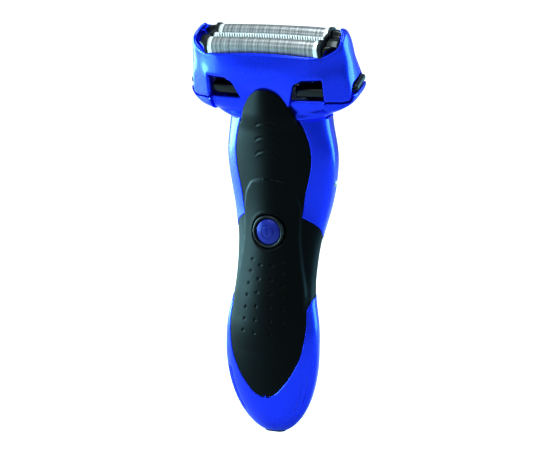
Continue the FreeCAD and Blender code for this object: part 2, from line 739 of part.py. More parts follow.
def inner_blade(u):
    """Half-round block of steel fins that runs under a foil."""
    radius = FOIL_R - FOIL_THICK - BLADE_GAP
    dome = rod(radius, V(-BLADE_HALF, u, FOIL_AXIS), V(1, 0, 0), 2 * BLADE_HALF)
    body = box(-BLADE_HALF, BLADE_HALF, u - radius, u + radius, CARRIER_TOP, FOIL_AXIS)
    blade = fuse(body, dome).common(box(-40, 40, u - 5, u + 5, CARRIER_TOP, 60))
    return to_head(blade.cut(fin_slots(u, 4.0, CARRIER_TOP + 1.6)))


def slit_inner_blade():
    top = SLIT_CREST - SLIT_THICK - BLADE_GAP
    half_u = SLIT_HALF_U - SLIT_THICK - BLADE_GAP
    blade = box(-BLADE_HALF, BLADE_HALF, -half_u, half_u, CARRIER_TOP, top)
    return to_head(blade.cut(fin_slots(0, 2.0, top - 2.6)))


def foil(u):
    """Thin arched foil with straight skirts, open below."""
    inner_r = FOIL_R - FOIL_THICK
    arch = rod(FOIL_R, V(-FOIL_HALF, u, FOIL_AXIS), V(1, 0, 0), 2 * FOIL_HALF)
    skirt = box(-FOIL_HALF, FOIL_HALF, u - FOIL_R, u + FOIL_R, FOIL_SKIRT, FOIL_AXIS)
    room = rod(inner_r, V(-40, u, FOIL_AXIS), V(1, 0, 0), 80)
    below = box(-40, 40, u - inner_r, u + inner_r, FOIL_SKIRT - 4, FOIL_AXIS)
    return to_head(fuse(arch, skirt).cut(room).cut(below))


def foil_holder(u):
    """Black end cheeks of a foil, tied by a rail along its outer skirt."""
    cheek_r = FOIL_R + 0.1
    x1 = FOIL_HALF + HOLDER_END
    cheek = fuse(rod(cheek_r, V(FOIL_HALF, u, FOIL_AXIS), V(1, 0, 0), HOLDER_END),
                 box(FOIL_HALF, x1, u - cheek_r, u + cheek_r, HOLDER_BOTTOM, FOIL_AXIS))
    side = -1 if u < 0 else 1
    rail_in, rail_out = u + side * FOIL_R, u + side * (FOIL_R + 0.45)
    rail = box(-x1, x1, min(rail_in, rail_out), max(rail_in, rail_out), HOLDER_BOTTOM, 43.0)
    return to_head(fuse(cheek, mirror_x(cheek), rail))


def slit_guard():
    """Narrow slotted guard between the foils."""
    shell = box(-FOIL_HALF, FOIL_HALF, -SLIT_HALF_U, SLIT_HALF_U, 44.0, SLIT_CREST)
    room = box(-FOIL_HALF - 1, FOIL_HALF + 1, -SLIT_HALF_U + SLIT_THICK, SLIT_HALF_U - SLIT_THICK,
               43.0, SLIT_CREST - SLIT_THICK)
    count = int((FOIL_HALF - 2.0) / SLIT_PITCH)
    slits = [box(n * SLIT_PITCH - SLIT_WIDTH / 2, n * SLIT_PITCH + SLIT_WIDTH / 2, -5, 5, SLIT_CREST - 1.5, 60)
             for n in range(-count, count + 1)]
    return to_head(shell.cut(room).cut(Part.makeCompound(slits)))


def slit_holder():
    x1 = FOIL_HALF + HOLDER_END
    cheek = box(FOIL_HALF, x1, -SLIT_HALF_U - 0.1, SLIT_HALF_U + 0.1, HOLDER_BOTTOM, SLIT_CREST + 0.1)
    foot = box(-x1, x1, SLIT_HALF_U - 0.3, SLIT_HALF_U + 0.1, 43.0, 44.0)
    return to_head(fuse(cheek, mirror_x(cheek), foot))


def foil_cassette():
    """Black cradle in the frame: thin long walls and tall end walls."""
    x_in = FOIL_HALF + HOLDER_END + BODY_GAP
    u_in = CASSETTE_HALF_U - CASSETTE_WALL_U
    ring = box(-CASSETTE_HALF_X, CASSETTE_HALF_X, -CASSETTE_HALF_U, CASSETTE_HALF_U, CASSETTE_BOTTOM, CASSETTE_TOP)
    ends = fuse(box(x_in, CASSETTE_HALF_X, -u_in + 0.6, u_in - 0.6, CASSETTE_BOTTOM, CASSETTE_END_TOP),
                box(-CASSETTE_HALF_X, -x_in, -u_in + 0.6, u_in - 0.6, CASSETTE_BOTTOM, CASSETTE_END_TOP))
    leg = box(x_in, LEG_X, -4.0, 5.6, RELEASE_LOW, CASSETTE_BOTTOM + 1)
    cradle = fuse(ring, ends).cut(box(-x_in, x_in, -u_in, u_in, 0, 60))
    return to_head(fuse(cradle, leg, mirror_x(leg)))


def window(side):
    """Slanted opening in the front wall beside the tongue."""
    corners = [V(x, -30, h) for x, h in WINDOW]
    face = Part.Face(Part.makePolygon(corners + [corners[0]]))
    prism = face.extrude(V(0, 24, 0))
    return prism if side > 0 else mirror_x(prism)


def release_button():
    """Oblong push button through the frame's side wall, with an inner flange."""
    pad = box(FLANGE_X, RELEASE_OUT, BUTTON_U0, BUTTON_U1, RELEASE_LOW, RELEASE_HIGH)
    along = [e for e in pad.Edges if abs(e.tangentAt(e.FirstParameter).x) > 0.9]
    pad = pad.makeFillet(PAD_ROUND, along)
    face_edges = [e for e in pad.Edges if e.BoundBox.XMin > RELEASE_OUT - 0.01]
    pad = pad.makeFillet(0.8, face_edges)
    flange = box(FLANGE_X - 1.2, FLANGE_X, BUTTON_U0 - 0.8, BUTTON_U1 - 1.4, RELEASE_LOW - 0.6, RELEASE_HIGH + 0.6)
    return fuse(pad, flange)


def release_hole():
    gap = 0.25
    hole = box(22.0, 60, BUTTON_U0 - gap, BUTTON_U1 + gap, RELEASE_LOW - gap, RELEASE_HIGH + gap)
    along = [e for e in hole.Edges if abs(e.tangentAt(e.FirstParameter).x) > 0.9]
    return hole.makeFillet(PAD_ROUND + gap, along)


def head_frame():
    """Blue lift-off frame: windows in front, release buttons at its sides."""
    hull = ring_solid(FRAME_RINGS)
    hull = hull.cut(ring_solid(FRAME_RINGS[:3], HEAD_WALL).cut(box(-60, 60, -60, 60, CASSETTE_BOTTOM, 60)))
    hull = hull.cut(box(-CASSETTE_HALF_X, CASSETTE_HALF_X, -CASSETTE_HALF_U, CASSETTE_HALF_U,
                        CASSETTE_BOTTOM - 1.0, 60))
    lip = fuse(box(-LIP_HALF_WIDTH, LIP_HALF_WIDTH, -30, 30, LIP_H, 60))
    hull = hull.cut(lip)
    for side in (-1, 1):
        hull = hull.cut(window(side))
    hole = release_hole()
    hull = hull.cut(hole).cut(mirror_x(hole))
    return to_head(hull).cut(tongue_solid(BODY_GAP).common(box(-30, 30, -40, 0, 100, 150)))


def ring_spring(radius, x, u, low, high):
    return z_rod(radius, x, u, low, high).cut(z_rod(radius - 0.5, x, u, low - 1, high + 1))


def blade_springs():
    coils = [to_head(ring_spring(2.15, 0, u, BRIDGE_HIGH, CARRIER_LOW)) for u in (-FOIL_PITCH, 0.0, FOIL_PITCH)]
    return Part.makeCompound(coils)


def release_spring(side):
    mid = (RELEASE_LOW + RELEASE_HIGH) / 2
    run = FLANGE_X - 1.2 - LEG_X
    coil = rod(1.6, V(LEG_X, 1.0, mid), V(1, 0, 0), run)
    coil = coil.cut(rod(1.1, V(LEG_X - 1, 1.0, mid), V(1, 0, 0), run + 2))
    return to_head(coil if side > 0 else mirror_x(coil))


save("head_base", head_base())
save("head_deck", head_deck())
save("head_block_left", to_head(mirror_x(head_block())).cut(tongue))
save("head_block_right", to_head(head_block()).cut(tongue))
save("motor", motor_can())
save("motor_bracket", motor_bracket())
save("bracket_screws", bracket_screws())
save("shaft_seal", shaft_seal())
save("motor_shaft", motor_shaft())
save("eccentric_cam", eccentric_cam())
save("oscillator_bridge", oscillator())
save("flexure_leaves", flexures())
for name, u in ELEMENTS:
    save("blade_carrier_" + name, blade_carrier(u))
    save("inner_blade_" + name, inner_blade(u))
    save("foil_" + name, foil(u))
    save("foil_holder_" + name, foil_holder(u))
save("blade_carrier_middle", blade_carrier(0.0))
save("inner_blade_middle", slit_inner_blade())
save("slit_guard", slit_guard())
save("slit_holder", slit_holder())
save("blade_springs", blade_springs())
save("foil_cassette", foil_cassette())
save("head_frame", head_frame())
save("release_spring_left", release_spring(-1))
save("release_spring_right", release_spring(1))
save("release_button_left", to_head(mirror_x(release_button())))
save("release_button_right", to_head(release_button()))


# ---------------------------------------------------------------- pop-up trimmer
def trimmer_door():
    """Hinged cover with side rails and a barrel around the hinge pin."""
    plate = box(-DOOR_HALF, DOOR_HALF, DOOR_FRONT_Y, DOOR_BACK_Y, PIN_Z - BARREL_R, DOOR_HIGH)
    upright = [e for e in plate.Edges
               if abs(e.tangentAt(e.FirstParameter).z) > 0.9 and e.BoundBox.YMin > DOOR_BACK_Y - 0.01]
    plate = plate.makeFillet(DOOR_ROUND, upright)
    back = DOOR_FRONT_Y + 0.6
    rail = box(DOOR_HALF - RAIL_THICK, DOOR_HALF, PIN_Y - RAIL_DEEP, back, PIN_Z + BARREL_R - 0.5, DOOR_HIGH)
    barrel = rod(BARREL_R, V(-DOOR_HALF, PIN_Y, PIN_Z), V(1, 0, 0), 2 * DOOR_HALF)
    bore = rod(TRIMMER_PIN_R + RUNNING_GAP, V(-20, PIN_Y, PIN_Z), V(1, 0, 0), 40)
    return fuse(plate, rail, mirror_x(rail), barrel).cut(bore)


def comb(half, y0, y1, low, high, pitch, gap):
    plate = box(-half, half, y0, y1, low, high)
    count = int((half - 0.6) / pitch)
    gaps = [box(n * pitch - gap / 2, n * pitch + gap / 2, y0 - 1, y1 + 1, high - 1.6, high + 1)
            for n in range(-count, count + 1)]
    return plate.cut(Part.makeCompound(gaps))


def trimmer_comb():
    """Fixed toothed blade, screwed between the rails of the door."""
    front = PIN_Y - RAIL_DEEP
    half = DOOR_HALF - RAIL_THICK
    return comb(half, front, front + COMB_THICK, COMB_LOW, DOOR_HIGH + 0.3, 1.5, 0.7)


def trimmer_cutter():
    return comb(COMB_HALF - STROKE, PIN_Y - 0.95, PIN_Y - 0.4, COMB_LOW + 2.0, DOOR_HIGH, 1.8, 0.9)


def cutter_carrier():
    return box(-5.0, 5.0, PIN_Y - 0.4, DOOR_FRONT_Y - BODY_GAP, COMB_LOW - 7.0, COMB_LOW + 5.0)


def trimmer_slider():
    """Thumb slide below the door; its stem passes through the casing."""
    pad = box(-5.5, 5.5, SLIDER_Y, SLIDER_Y + 1.6, SLIDER_LOW, SLIDER_LOW + SLIDER_TALL)
    grooves = [box(-4.5, 4.5, SLIDER_Y + 1.2, SLIDER_Y + 3, SLIDER_LOW + z, SLIDER_LOW + z + 0.6)
               for z in (1.3, 2.9, 4.5)]
    stem = box(-1.5, 1.5, 17.0, SLIDER_Y, SLIDER_LOW + 2.0, SLIDER_LOW + SLIDER_TALL - 2.0)
    inner = box(-3.2, 3.2, 16.0, 17.2, SLIDER_LOW + 1.0, SLIDER_LOW + SLIDER_TALL - 1.0)
    return fuse(pad, stem, inner).cut(Part.makeCompound(grooves))


save("trimmer_door", trimmer_door())
save("trimmer_pin", trimmer_pin)
save("trimmer_comb", trimmer_comb())
save("trimmer_cutter", trimmer_cutter())
save("cutter_carrier", cutter_carrier())
save("trimmer_slider", trimmer_slider())
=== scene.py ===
# %% [markdown]
# # An electric shaver, surface by surface
#
# This lesson dresses a working shaver: a waisted handle with a rubber grip, a
# tilted head with three floating shaving elements, buttons and a trimmer. The
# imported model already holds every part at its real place, with its joints.
# Here each part that shows gets a finer surface and a real finish. Most
# surfaces are a function of two parameters worked out with numpy, because one
# formula is easier to bend to the real form than a pile of blocks.

# %% Load the frame
import json

import bmesh
import bpy
import numpy as np
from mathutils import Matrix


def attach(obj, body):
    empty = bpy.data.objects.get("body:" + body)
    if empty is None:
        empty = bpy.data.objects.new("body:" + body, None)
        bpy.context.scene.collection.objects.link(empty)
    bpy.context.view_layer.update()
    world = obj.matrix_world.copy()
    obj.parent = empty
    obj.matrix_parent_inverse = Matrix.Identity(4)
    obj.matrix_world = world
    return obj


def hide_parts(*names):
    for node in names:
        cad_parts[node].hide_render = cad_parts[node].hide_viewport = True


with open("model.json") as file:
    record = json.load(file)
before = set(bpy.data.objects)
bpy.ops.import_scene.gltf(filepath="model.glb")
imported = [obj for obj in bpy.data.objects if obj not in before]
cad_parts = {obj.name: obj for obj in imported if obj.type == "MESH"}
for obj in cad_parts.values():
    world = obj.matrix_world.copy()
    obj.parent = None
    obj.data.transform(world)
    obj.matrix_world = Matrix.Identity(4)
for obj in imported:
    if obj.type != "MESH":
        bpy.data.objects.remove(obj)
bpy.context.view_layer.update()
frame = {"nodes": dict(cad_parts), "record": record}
MM = 0.001

# %% [markdown]
# ## Camera and light
#
# The shaver stands upright and is seen from the right of its front and a little
# from above, through a long lens, so that its sides stay nearly parallel. Gloss
# needs something to reflect: tall soft panels left and right give the long
# streaks along the handle, and the white surround keeps the blue bright.

# %% Camera
def place_camera(target, azimuth, elevation, distance, lens, shift):
    """Camera on a sphere round target: azimuth turns right of the front, elevation lifts it."""
    a, e = np.radians([azimuth, elevation])
    away = np.array([np.sin(a) * np.cos(e), -np.cos(a) * np.cos(e), np.sin(e)])
    camera = bpy.data.objects.new("camera", bpy.data.cameras.new("camera"))
    camera.location = np.array(target) + distance * away
    camera.rotation_euler = (np.pi / 2 - e, 0.0, a)
    camera.data.lens = lens
    camera.data.shift_x, camera.data.shift_y = shift
    bpy.context.scene.collection.objects.link(camera)
    bpy.context.scene.camera = camera
    return camera


view = place_camera((0, 0, 0.084), 24.5, 10.0, 0.936, 156.9, (-0.0029, 0.0))
print("camera at", [round(v, 3) for v in view.location])


# %% Soft panels of light
def soft_panel(name, centre, aim, size, power, colour):
    """Rectangular area light at centre, facing aim, in metres and watts.
    Its turn is the angle of the aim's direction from straight down, and then that direction's heading."""
    data = bpy.data.lights.new(name, "AREA")
    data.shape = "RECTANGLE"
    data.size, data.size_y = size
    data.energy = power
    data.color = colour
    lamp = bpy.data.objects.new(name, data)
    lamp.location = centre
    away = np.array(aim, float) - np.array(centre, float)
    flat = np.hypot(away[0], away[1])
    heading = np.arctan2(away[1], away[0])
    lamp.rotation_euler = (np.arctan2(flat, -away[2]), 0.0, heading - np.pi / 2)
    bpy.context.scene.collection.objects.link(lamp)
    return lamp


MIDDLE, HEAD_AIM = (0.0, 0.0, 0.09), (0.0, 0.0, 0.14)
COOL, COLD, PALE = (0.40, 0.88, 1.0), (0.24, 0.72, 1.0), (0.76, 0.96, 1.0)
PANELS = {
    "left_panel": ((-0.62, -0.20, 0.12), MIDDLE, (0.18, 0.70), 14.0, COOL),
    "left_back_panel": ((-0.62, 0.17, 0.14), MIDDLE, (0.30, 0.60), 9.0, COOL),
    "right_panel": ((0.48, 0.34, 0.12), MIDDLE, (0.42, 0.60), 11.0, COLD),
    "front_fill": ((-0.15, -0.80, 0.55), MIDDLE, (0.40, 0.30), 1.6, PALE),
    "low_left_panel": ((-0.42, -0.20, 0.02), HEAD_AIM, (0.34, 0.40), 2.6, COOL),
    "top_panel": ((0.0, -0.10, 0.80), MIDDLE, (0.40, 0.30), 5.0, PALE),
}
for panel, values in PANELS.items():
    soft_panel(panel, *values)
print("soft panels:", len(PANELS))


# %% Surround
def studio_world(seen, felt):
    """Surround: white where it is seen past the object, and the colour felt where it lights and reflects."""
    world = bpy.data.worlds.new("studio")
    world.use_nodes = True
    tree = world.node_tree
    ray = tree.nodes.new("ShaderNodeLightPath")
    blend = tree.nodes.new("ShaderNodeMix")
    blend.data_type = "RGBA"
    factor, first, second = 0, 6, 7
    blend.inputs[first].default_value = (*felt, 1.0)
    blend.inputs[second].default_value = (*seen, 1.0)
    tree.links.new(ray.outputs["Is Camera Ray"], blend.inputs[factor])
    tree.links.new(blend.outputs[2], tree.nodes["Background"].inputs["Color"])
    return world


WHITE, DIM_COOL = (1.0, 1.0, 1.0), (0.34, 0.47, 0.49)
bpy.context.scene.world = studio_world(WHITE, DIM_COOL)
bpy.context.scene.view_settings.view_transform = "Standard"
print("surround seen", WHITE, "and felt", DIM_COOL)

# %% [markdown]
# ## Tools for surfaces
#
# A long moulded part is easiest to describe by a few numbers at a few heights.
# A cubic curve joins them so smoothly that a gloss surface shows no break. The
# mesh tool then takes grids of points, joins the ones that share an edge, and
# turns every face outwards. Walls are given later by a Solidify modifier.

# %% Smooth curves
def smooth_curve(places, values):
    """Natural cubic curve: between two points a cubic whose bend matches its neighbours'."""
    x, y = np.asarray(places, float), np.asarray(values, float)
    gap = np.diff(x)
    system, right = np.eye(len(x)), np.zeros(len(x))
    i = np.arange(1, len(x) - 1)
    system[i, i - 1], system[i, i], system[i, i + 1] = gap[:-1], 2 * (gap[:-1] + gap[1:]), gap[1:]
    right[i] = 6 * (np.diff(y)[1:] / gap[1:] - np.diff(y)[:-1] / gap[:-1])
    bend = np.linalg.solve(system, right)

    def at(t):
        t = np.clip(t, x[0], x[-1])
        k = np.clip(np.searchsorted(x, t) - 1, 0, len(x) - 2)
        a = (x[k + 1] - t) / gap[k]
        b = 1 - a
        return a * y[k] + b * y[k + 1] + ((a**3 - a) * bend[k] + (b**3 - b) * bend[k + 1]) * gap[k] ** 2 / 6

    return at


test = smooth_curve([0.0, 1.0, 2.0], [0.0, 1.0, 0.0])
print("a smooth curve through 0, 1, 0 is", test(0.5).round(3), "half way up")


# %% Spacing and symmetry
def ease(low, high, value):
    """0 below low, 1 above high, and 3t^2 - 2t^3 between."""
    t = np.clip((value - low) / (high - low), 0.0, 1.0)
    return t * t * (3 - 2 * t)


def steps(start, stop, coarse, fine, spots=(), reach=1.5):
    """Places from start to stop: coarse apart, but fine within reach of each spot."""
    spots = np.array([start, stop, *spots], float)
    fine_grid = np.linspace(start, stop, 4000)
    near = np.abs(fine_grid[:, None] - spots).min(axis=1)
    spacing = fine + (coarse - fine) * ease(0.5 * reach, 2.0 * reach, near)
    count = np.concatenate([[0], np.cumsum(np.diff(fine_grid) / spacing[1:])])
    return np.interp(np.linspace(0, count[-1], int(count[-1]) + 2), count, fine_grid)


def both_sides(right):
    """The values of the right side, 0 first, with the same values, negative, before them for the left."""
    return np.concatenate([-right[:0:-1], right])


def signed_power(value, power):
    """|value|^power with the sign of value."""
    return np.sign(value) * np.abs(value) ** power


def turns(count):
    """Angles of count places evenly round a circle."""
    return np.linspace(0, 2 * np.pi, count, endpoint=False)


MIRROR = np.array([-1, 1, 1])
print("steps that are finer at both ends:", steps(0.0, 4.0, 1.0, 0.4).round(2))


# %% Faces and edges of a grid
def cells(grid, wrap=False):
    """Corner numbers of the faces of a grid of rows and columns; wrap joins the last column to the first."""
    rows, cols = grid.shape[:2]
    number = np.arange(rows * cols).reshape(rows, cols)
    if wrap:
        number = np.concatenate([number, number[:, :1]], axis=1)
    corners = [number[:-1, :-1], number[:-1, 1:], number[1:, 1:], number[1:, :-1]]
    return np.stack(corners, axis=-1).reshape(-1, 4)


def distance_to(points, line):
    """Distance of each point to the nearest point of a finely drawn line."""
    flat = points.reshape(-1, 3)
    near = [np.sqrt(((part[:, None] - line[None]) ** 2).sum(-1).min(1)) for part in np.array_split(flat, 40)]
    return np.concatenate(near).reshape(points.shape[:-1])


def edge_round(distance, radius):
    """How far a rounded edge falls away: a quarter circle of this radius, 0 past it."""
    left = np.clip(radius - distance, 0, radius)
    return radius - np.sqrt(radius**2 - left**2)


print("a grid of 3 by 4 points has", len(cells(np.zeros((3, 4, 3)))), "faces")


# %% Reading and turning a mesh
def mesh_points(mesh):
    """Vertices of a mesh as one array, in millimetres."""
    places = np.empty(len(mesh.vertices) * 3)
    mesh.vertices.foreach_get("co", places)
    return places.reshape(-1, 3) / MM


def face_values(mesh, kind):
    """Centres or normals of a mesh's faces as one array."""
    values = np.empty(len(mesh.polygons) * 3)
    mesh.polygons.foreach_get(kind, values)
    return values.reshape(-1, 3)


def turn_outwards(mesh):
    """Recalculates the faces of a closed mesh so that they all point out."""
    work = bmesh.new()
    work.from_mesh(mesh)
    bmesh.ops.recalc_face_normals(work, faces=work.faces)
    work.to_mesh(mesh)
    work.free()


# %% Grids into a piece
def joined(grids, wrap):
    """Points and faces of several grids, with points that fall together made one.
    A face keeps its four corners, or three where two neighbours are one; a thinner one is dropped."""
    starts = np.cumsum([0] + [grid.shape[0] * grid.shape[1] for grid in grids])
    points = np.concatenate([grid.reshape(-1, 3) for grid in grids])
    faces = np.concatenate([cells(grid, wrap) + start for grid, start in zip(grids, starts)])
    _, first, same = np.unique(np.round(points, 4), axis=0, return_index=True, return_inverse=True)
    points, faces = points[first], same.reshape(-1)[faces]
    apart = faces != np.roll(faces, -1, axis=1)
    crossed = (faces[:, 0] == faces[:, 2]) | (faces[:, 1] == faces[:, 3])
    quads = faces[apart.all(1) & ~crossed]
    pinched = (apart.sum(1) == 3) & ~crossed
    triangles = faces[pinched][apart[pinched]].reshape(-1, 3)
    return points, quads.tolist() + triangles.tolist()


def make_piece(name, grids, inside=None, wrap=False, corner=40.0):
    """Mesh object from grids of points in millimetres. Points that fall together become one.
    With inside, a point within the part, faces turn away from it; without, the mesh is closed."""
    points, faces = joined(grids, wrap)
    mesh = bpy.data.meshes.new(name)
    mesh.from_pydata((points * MM).tolist(), [], faces)
    mesh.update()
    if inside is None:
        turn_outwards(mesh)
    else:
        centres, normals = face_values(mesh, "center"), face_values(mesh, "normal")
        if ((centres - np.array(inside) * MM) * normals).sum() < 0:
            mesh.flip_normals()
    mesh.shade_smooth()
    mesh.set_sharp_from_angle(angle=np.radians(corner))
    piece = bpy.data.objects.new(name, mesh)
    bpy.context.scene.collection.objects.link(piece)
    return piece


# %% Walls and dressing
def give_wall(piece, thickness):
    """Grows the wall inwards from the outer skin, in millimetres; a negative one grows outwards."""
    wall = piece.modifiers.new("wall", "SOLIDIFY")
    wall.thickness = thickness * MM
    wall.offset = -1.0
    wall.use_even_offset = False
    return wall


def dress(piece, body, slot, material, *nodes):
    """Rides the piece on its body, gives it its material and hides the CAD pieces it stands for. Its slot is
    not used.
    """
    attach(piece, body)
    if nodes:
        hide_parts(*nodes)
    piece.data.materials.clear()
    piece.data.materials.append(material)
    print(f"{piece.name}: {len(piece.data.vertices)} points on {body}")


# %% [markdown]
# ## The handle's skin
#
# The handle is a tube whose outline changes all the way up. Each cross-section
# is four Bezier arcs: the front pair is drawn to a crown in the middle, the back
# pair is a plain round. A place on the skin is (p, z): z is the height and p goes
# round from 0 on the front line through 1 on the side to 2 on the back line,
# negative on the left.

# %% Handle outline
# height, front line y, half width, y of the widest line, depth, crown of the front (smaller is sharper)
HANDLE = np.array([
    (36, -13.9, 19.60, -4.2, 22.6, 0.46),
    (46, -14.2, 19.20, -3.6, 23.2, 0.44),
    (57, -12.5, 17.25, -2.3, 23.0, 0.42),
    (68, -10.2, 16.85, 0.3, 23.4, 0.41),
    (78, -8.8, 17.50, 2.7, 25.6, 0.39),
    (90, -8.1, 19.85, 5.5, 30.4, 0.36),
    (103, -8.9, 22.20, 5.4, 33.0, 0.34),
    (113, -9.9, 22.65, 4.4, 34.1, 0.33),
    (123, -11.4, 21.10, 3.3, 35.2, 0.33),
    (139, -12.7, 20.20, 3.8, 34.6, 0.33),
], float)
HANDLE_CURVES = [smooth_curve(HANDLE[:, 0], HANDLE[:, k]) for k in range(1, 6)]
front_line, half_width, side_line, depth, crown = HANDLE_CURVES
TAIL_TOP = 36.0
TAIL_RISE = 34.8
TAIL_END = 1.4
BACK_CROWN = 0.57
TAIL_CENTRE, TAIL_SWING = -0.9, 2.9
TAIL_FRONT, TAIL_SIDE, TAIL_BACK = 10.1, 0.4, 12.5


def section(z):
    """Front y, half width, widest y, back y and crown of the section at height z.
    Below TAIL_TOP the section shrinks by the height of an ellipse, share = sqrt(1 - s^2)."""
    share = np.sqrt(1 - (np.clip(TAIL_TOP - z, 0, None) / TAIL_RISE) ** 2)
    down = np.clip(1 - z / TAIL_TOP, 0, 1)
    centre = TAIL_CENTRE - TAIL_SWING * (1 - down**2)
    low = z < TAIL_TOP
    front = np.where(low, centre - TAIL_FRONT * share, front_line(z))
    width = np.where(low, half_width(TAIL_TOP) * share, half_width(z))
    side = np.where(low, centre - TAIL_SIDE * share, side_line(z))
    back = np.where(low, centre + TAIL_BACK * share, front_line(z) + depth(z))
    return front, width, side, back, crown(z)


def bezier(t):
    """The four weights of a cubic Bezier arc: (1-t)^3, 3t(1-t)^2, 3t^2(1-t) and t^3."""
    return (1 - t) ** 3, 3 * t * (1 - t) ** 2, 3 * t**2 * (1 - t), t**3


print("outline given at", len(HANDLE), "heights; half way an arc's weights are", bezier(0.5))


# %% Skin of the handle
def skin(p, z):
    """Point of the handle's skin at place p round the section and height z: one Bezier arc from the
    front line to the side, and another from the side to the back line."""
    p, z = np.broadcast_arrays(np.asarray(p, float), np.asarray(z, float))
    front, width, side, back, pull = section(z)
    turn = np.abs(p)
    a, b, c, d = bezier(np.clip(turn, 0, 1))
    x_front = width * (pull * b + c + d)
    y_front = front * (a + b) + (side - pull * (side - front)) * c + side * d
    a, b, c, d = bezier(np.clip(turn - 1, 0, 1))
    x_back = width * (a + b + BACK_CROWN * c)
    y_back = side * a + (side + BACK_CROWN * (back - side)) * b + back * (c + d)
    x, y = np.where(turn <= 1, x_front, x_back), np.where(turn <= 1, y_front, y_back)
    return np.stack([x * np.where(p < 0, -1, 1), y, z], axis=-1)


def skin_normal(p, z):
    """Unit vector out of the skin, from small steps round and up."""
    step_p, step_z = 2e-3, 0.02
    z = np.clip(z, TAIL_END + step_z, None)
    round_way = skin(p + step_p, z) - skin(p - step_p, z)
    up_way = skin(p, z + step_z) - skin(p, z - step_z)
    normal = np.cross(round_way, up_way)
    return normal / np.maximum(np.linalg.norm(normal, axis=-1, keepdims=True), 1e-12)


def raised(p, z, height):
    """Skin moved out by height, in millimetres."""
    return skin(p, z) + skin_normal(p, z) * np.asarray(height)[..., None]


print("front of the handle at 60 mm:", skin(0.0, 60.0).round(1))


# %% Places on the skin
def halved(reach, x, low, high):
    """The place between low and high where reach, which grows, is x: the interval is halved 24 times."""
    for _ in range(24):
        middle = (low + high) / 2
        short = reach(middle) < x
        low, high = np.where(short, middle, low), np.where(short, high, middle)
    return (low + high) / 2


def place_at(x, z):
    """The place p on the front where the skin is x from the middle."""
    x = np.asarray(x, dtype=float)
    return halved(lambda p: skin(p, z)[..., 0], x, np.zeros_like(x), np.ones_like(x))


print("handle widest at 113 mm:", round(float(2 * half_width(113)), 1), "mm across")

# %% [markdown]
# ## Finishes
#
# No moulded or milled surface is quite even. Gloss lacquer carries a faint
# orange peel, rubber a fine spark-eroded grain, metal the lines of its brushing.
# Three node groups make these effects once: a slow change of tone and gloss, a
# grain height, and brushed lines. Each finish places them with its own values.

# %% Node groups for uneven surfaces
def new_group(name, inputs, outputs):
    """Shader node group with named sockets; returns it with its input and output nodes."""
    group = bpy.data.node_groups.new(name, "ShaderNodeTree")
    for label, kind in inputs:
        group.interface.new_socket(label, in_out="INPUT", socket_type=kind)
    for label, kind in outputs:
        group.interface.new_socket(label, in_out="OUTPUT", socket_type=kind)
    return group, group.nodes.new("NodeGroupInput"), group.nodes.new("NodeGroupOutput")


def add_node(tree, kind, links=(), **settings):
    """New node with settings; links pairs each input with an output or a plain value."""
    node = tree.nodes.new(kind)
    for key, value in settings.items():
        setattr(node, key, value)
    for socket, source in links:
        if isinstance(source, bpy.types.NodeSocket):
            tree.links.new(source, node.inputs[socket])
        else:
            node.inputs[socket].default_value = source
    return node


def add_math(tree, operation, first, second=None, third=None, clamp=False):
    """Output of a Math node fed with up to three sockets or plain values."""
    values = [(k, value) for k, value in enumerate((first, second, third)) if value is not None]
    return add_node(tree, "ShaderNodeMath", values, operation=operation, use_clamp=clamp).outputs[0]


def add_noise(tree, place, scale, detail):
    """Output of a Noise Texture at a place, with scale features per metre."""
    fed = [("Vector", place), ("Scale", scale), ("Detail", detail)]
    return add_node(tree, "ShaderNodeTexNoise", fed).outputs[0]


def add_range(tree, value, taken, given):
    """Output of a Map Range node, from the range taken to the range given."""
    return add_node(tree, "ShaderNodeMapRange", [(0, value), *enumerate((*taken, *given), 1)]).outputs[0]


VECTOR, FLOAT, COLOUR = "NodeSocketVector", "NodeSocketFloat", "NodeSocketColor"
print("sockets of the groups carry", VECTOR, FLOAT, COLOUR)


# %% Three effects
def tone_group():
    """Colour times 1 + Tone (n - 1) and roughness plus Spread (n - 1), n the sum of a slow and a
    quick noise."""
    taken = [("Vector", VECTOR), ("Colour", COLOUR), ("Tone", FLOAT), ("Roughness", FLOAT), ("Spread", FLOAT)]
    group, inside, outside = new_group("uneven_tone", taken, [("Colour", COLOUR), ("Roughness", FLOAT)])
    out = inside.outputs
    slow, quick = add_noise(group, out["Vector"], 70.0, 3.0), add_noise(group, out["Vector"], 1100.0, 2.0)
    centred = add_math(group, "SUBTRACT", add_math(group, "ADD", slow, quick), 1.0)
    share = add_math(group, "MULTIPLY_ADD", centred, out["Tone"], 1.0)
    tint = add_node(group, "ShaderNodeVectorMath", [(0, out["Colour"]), ("Scale", share)], operation="SCALE")
    rough = add_math(group, "MULTIPLY_ADD", centred, out["Spread"], out["Roughness"], clamp=True)
    group.links.new(tint.outputs[0], outside.inputs["Colour"])
    group.links.new(rough, outside.inputs["Roughness"])
    return group


RELIEF_SOCKETS = [("Vector", VECTOR), ("Scale", FLOAT)], [("Height", FLOAT)]


def grain_group():
    """Height of a moulded grain: noise at Scale features per metre."""
    group, inside, outside = new_group("moulded_grain", *RELIEF_SOCKETS)
    noise = add_noise(group, inside.outputs["Vector"], inside.outputs["Scale"], 2.0)
    group.links.new(noise, outside.inputs["Height"])
    return group


def brushed_group():
    """Height of brushed lines along X: noise squeezed across them, Scale lines per metre."""
    group, inside, outside = new_group("brushed_lines", *RELIEF_SOCKETS)
    drawn = add_node(group, "ShaderNodeVectorMath", [(0, inside.outputs["Vector"]), (1, (0.03, 1.0, 1.0))],
                     operation="MULTIPLY")
    noise = add_noise(group, drawn.outputs[0], inside.outputs["Scale"], 1.0)
    group.links.new(noise, outside.inputs["Height"])
    return group


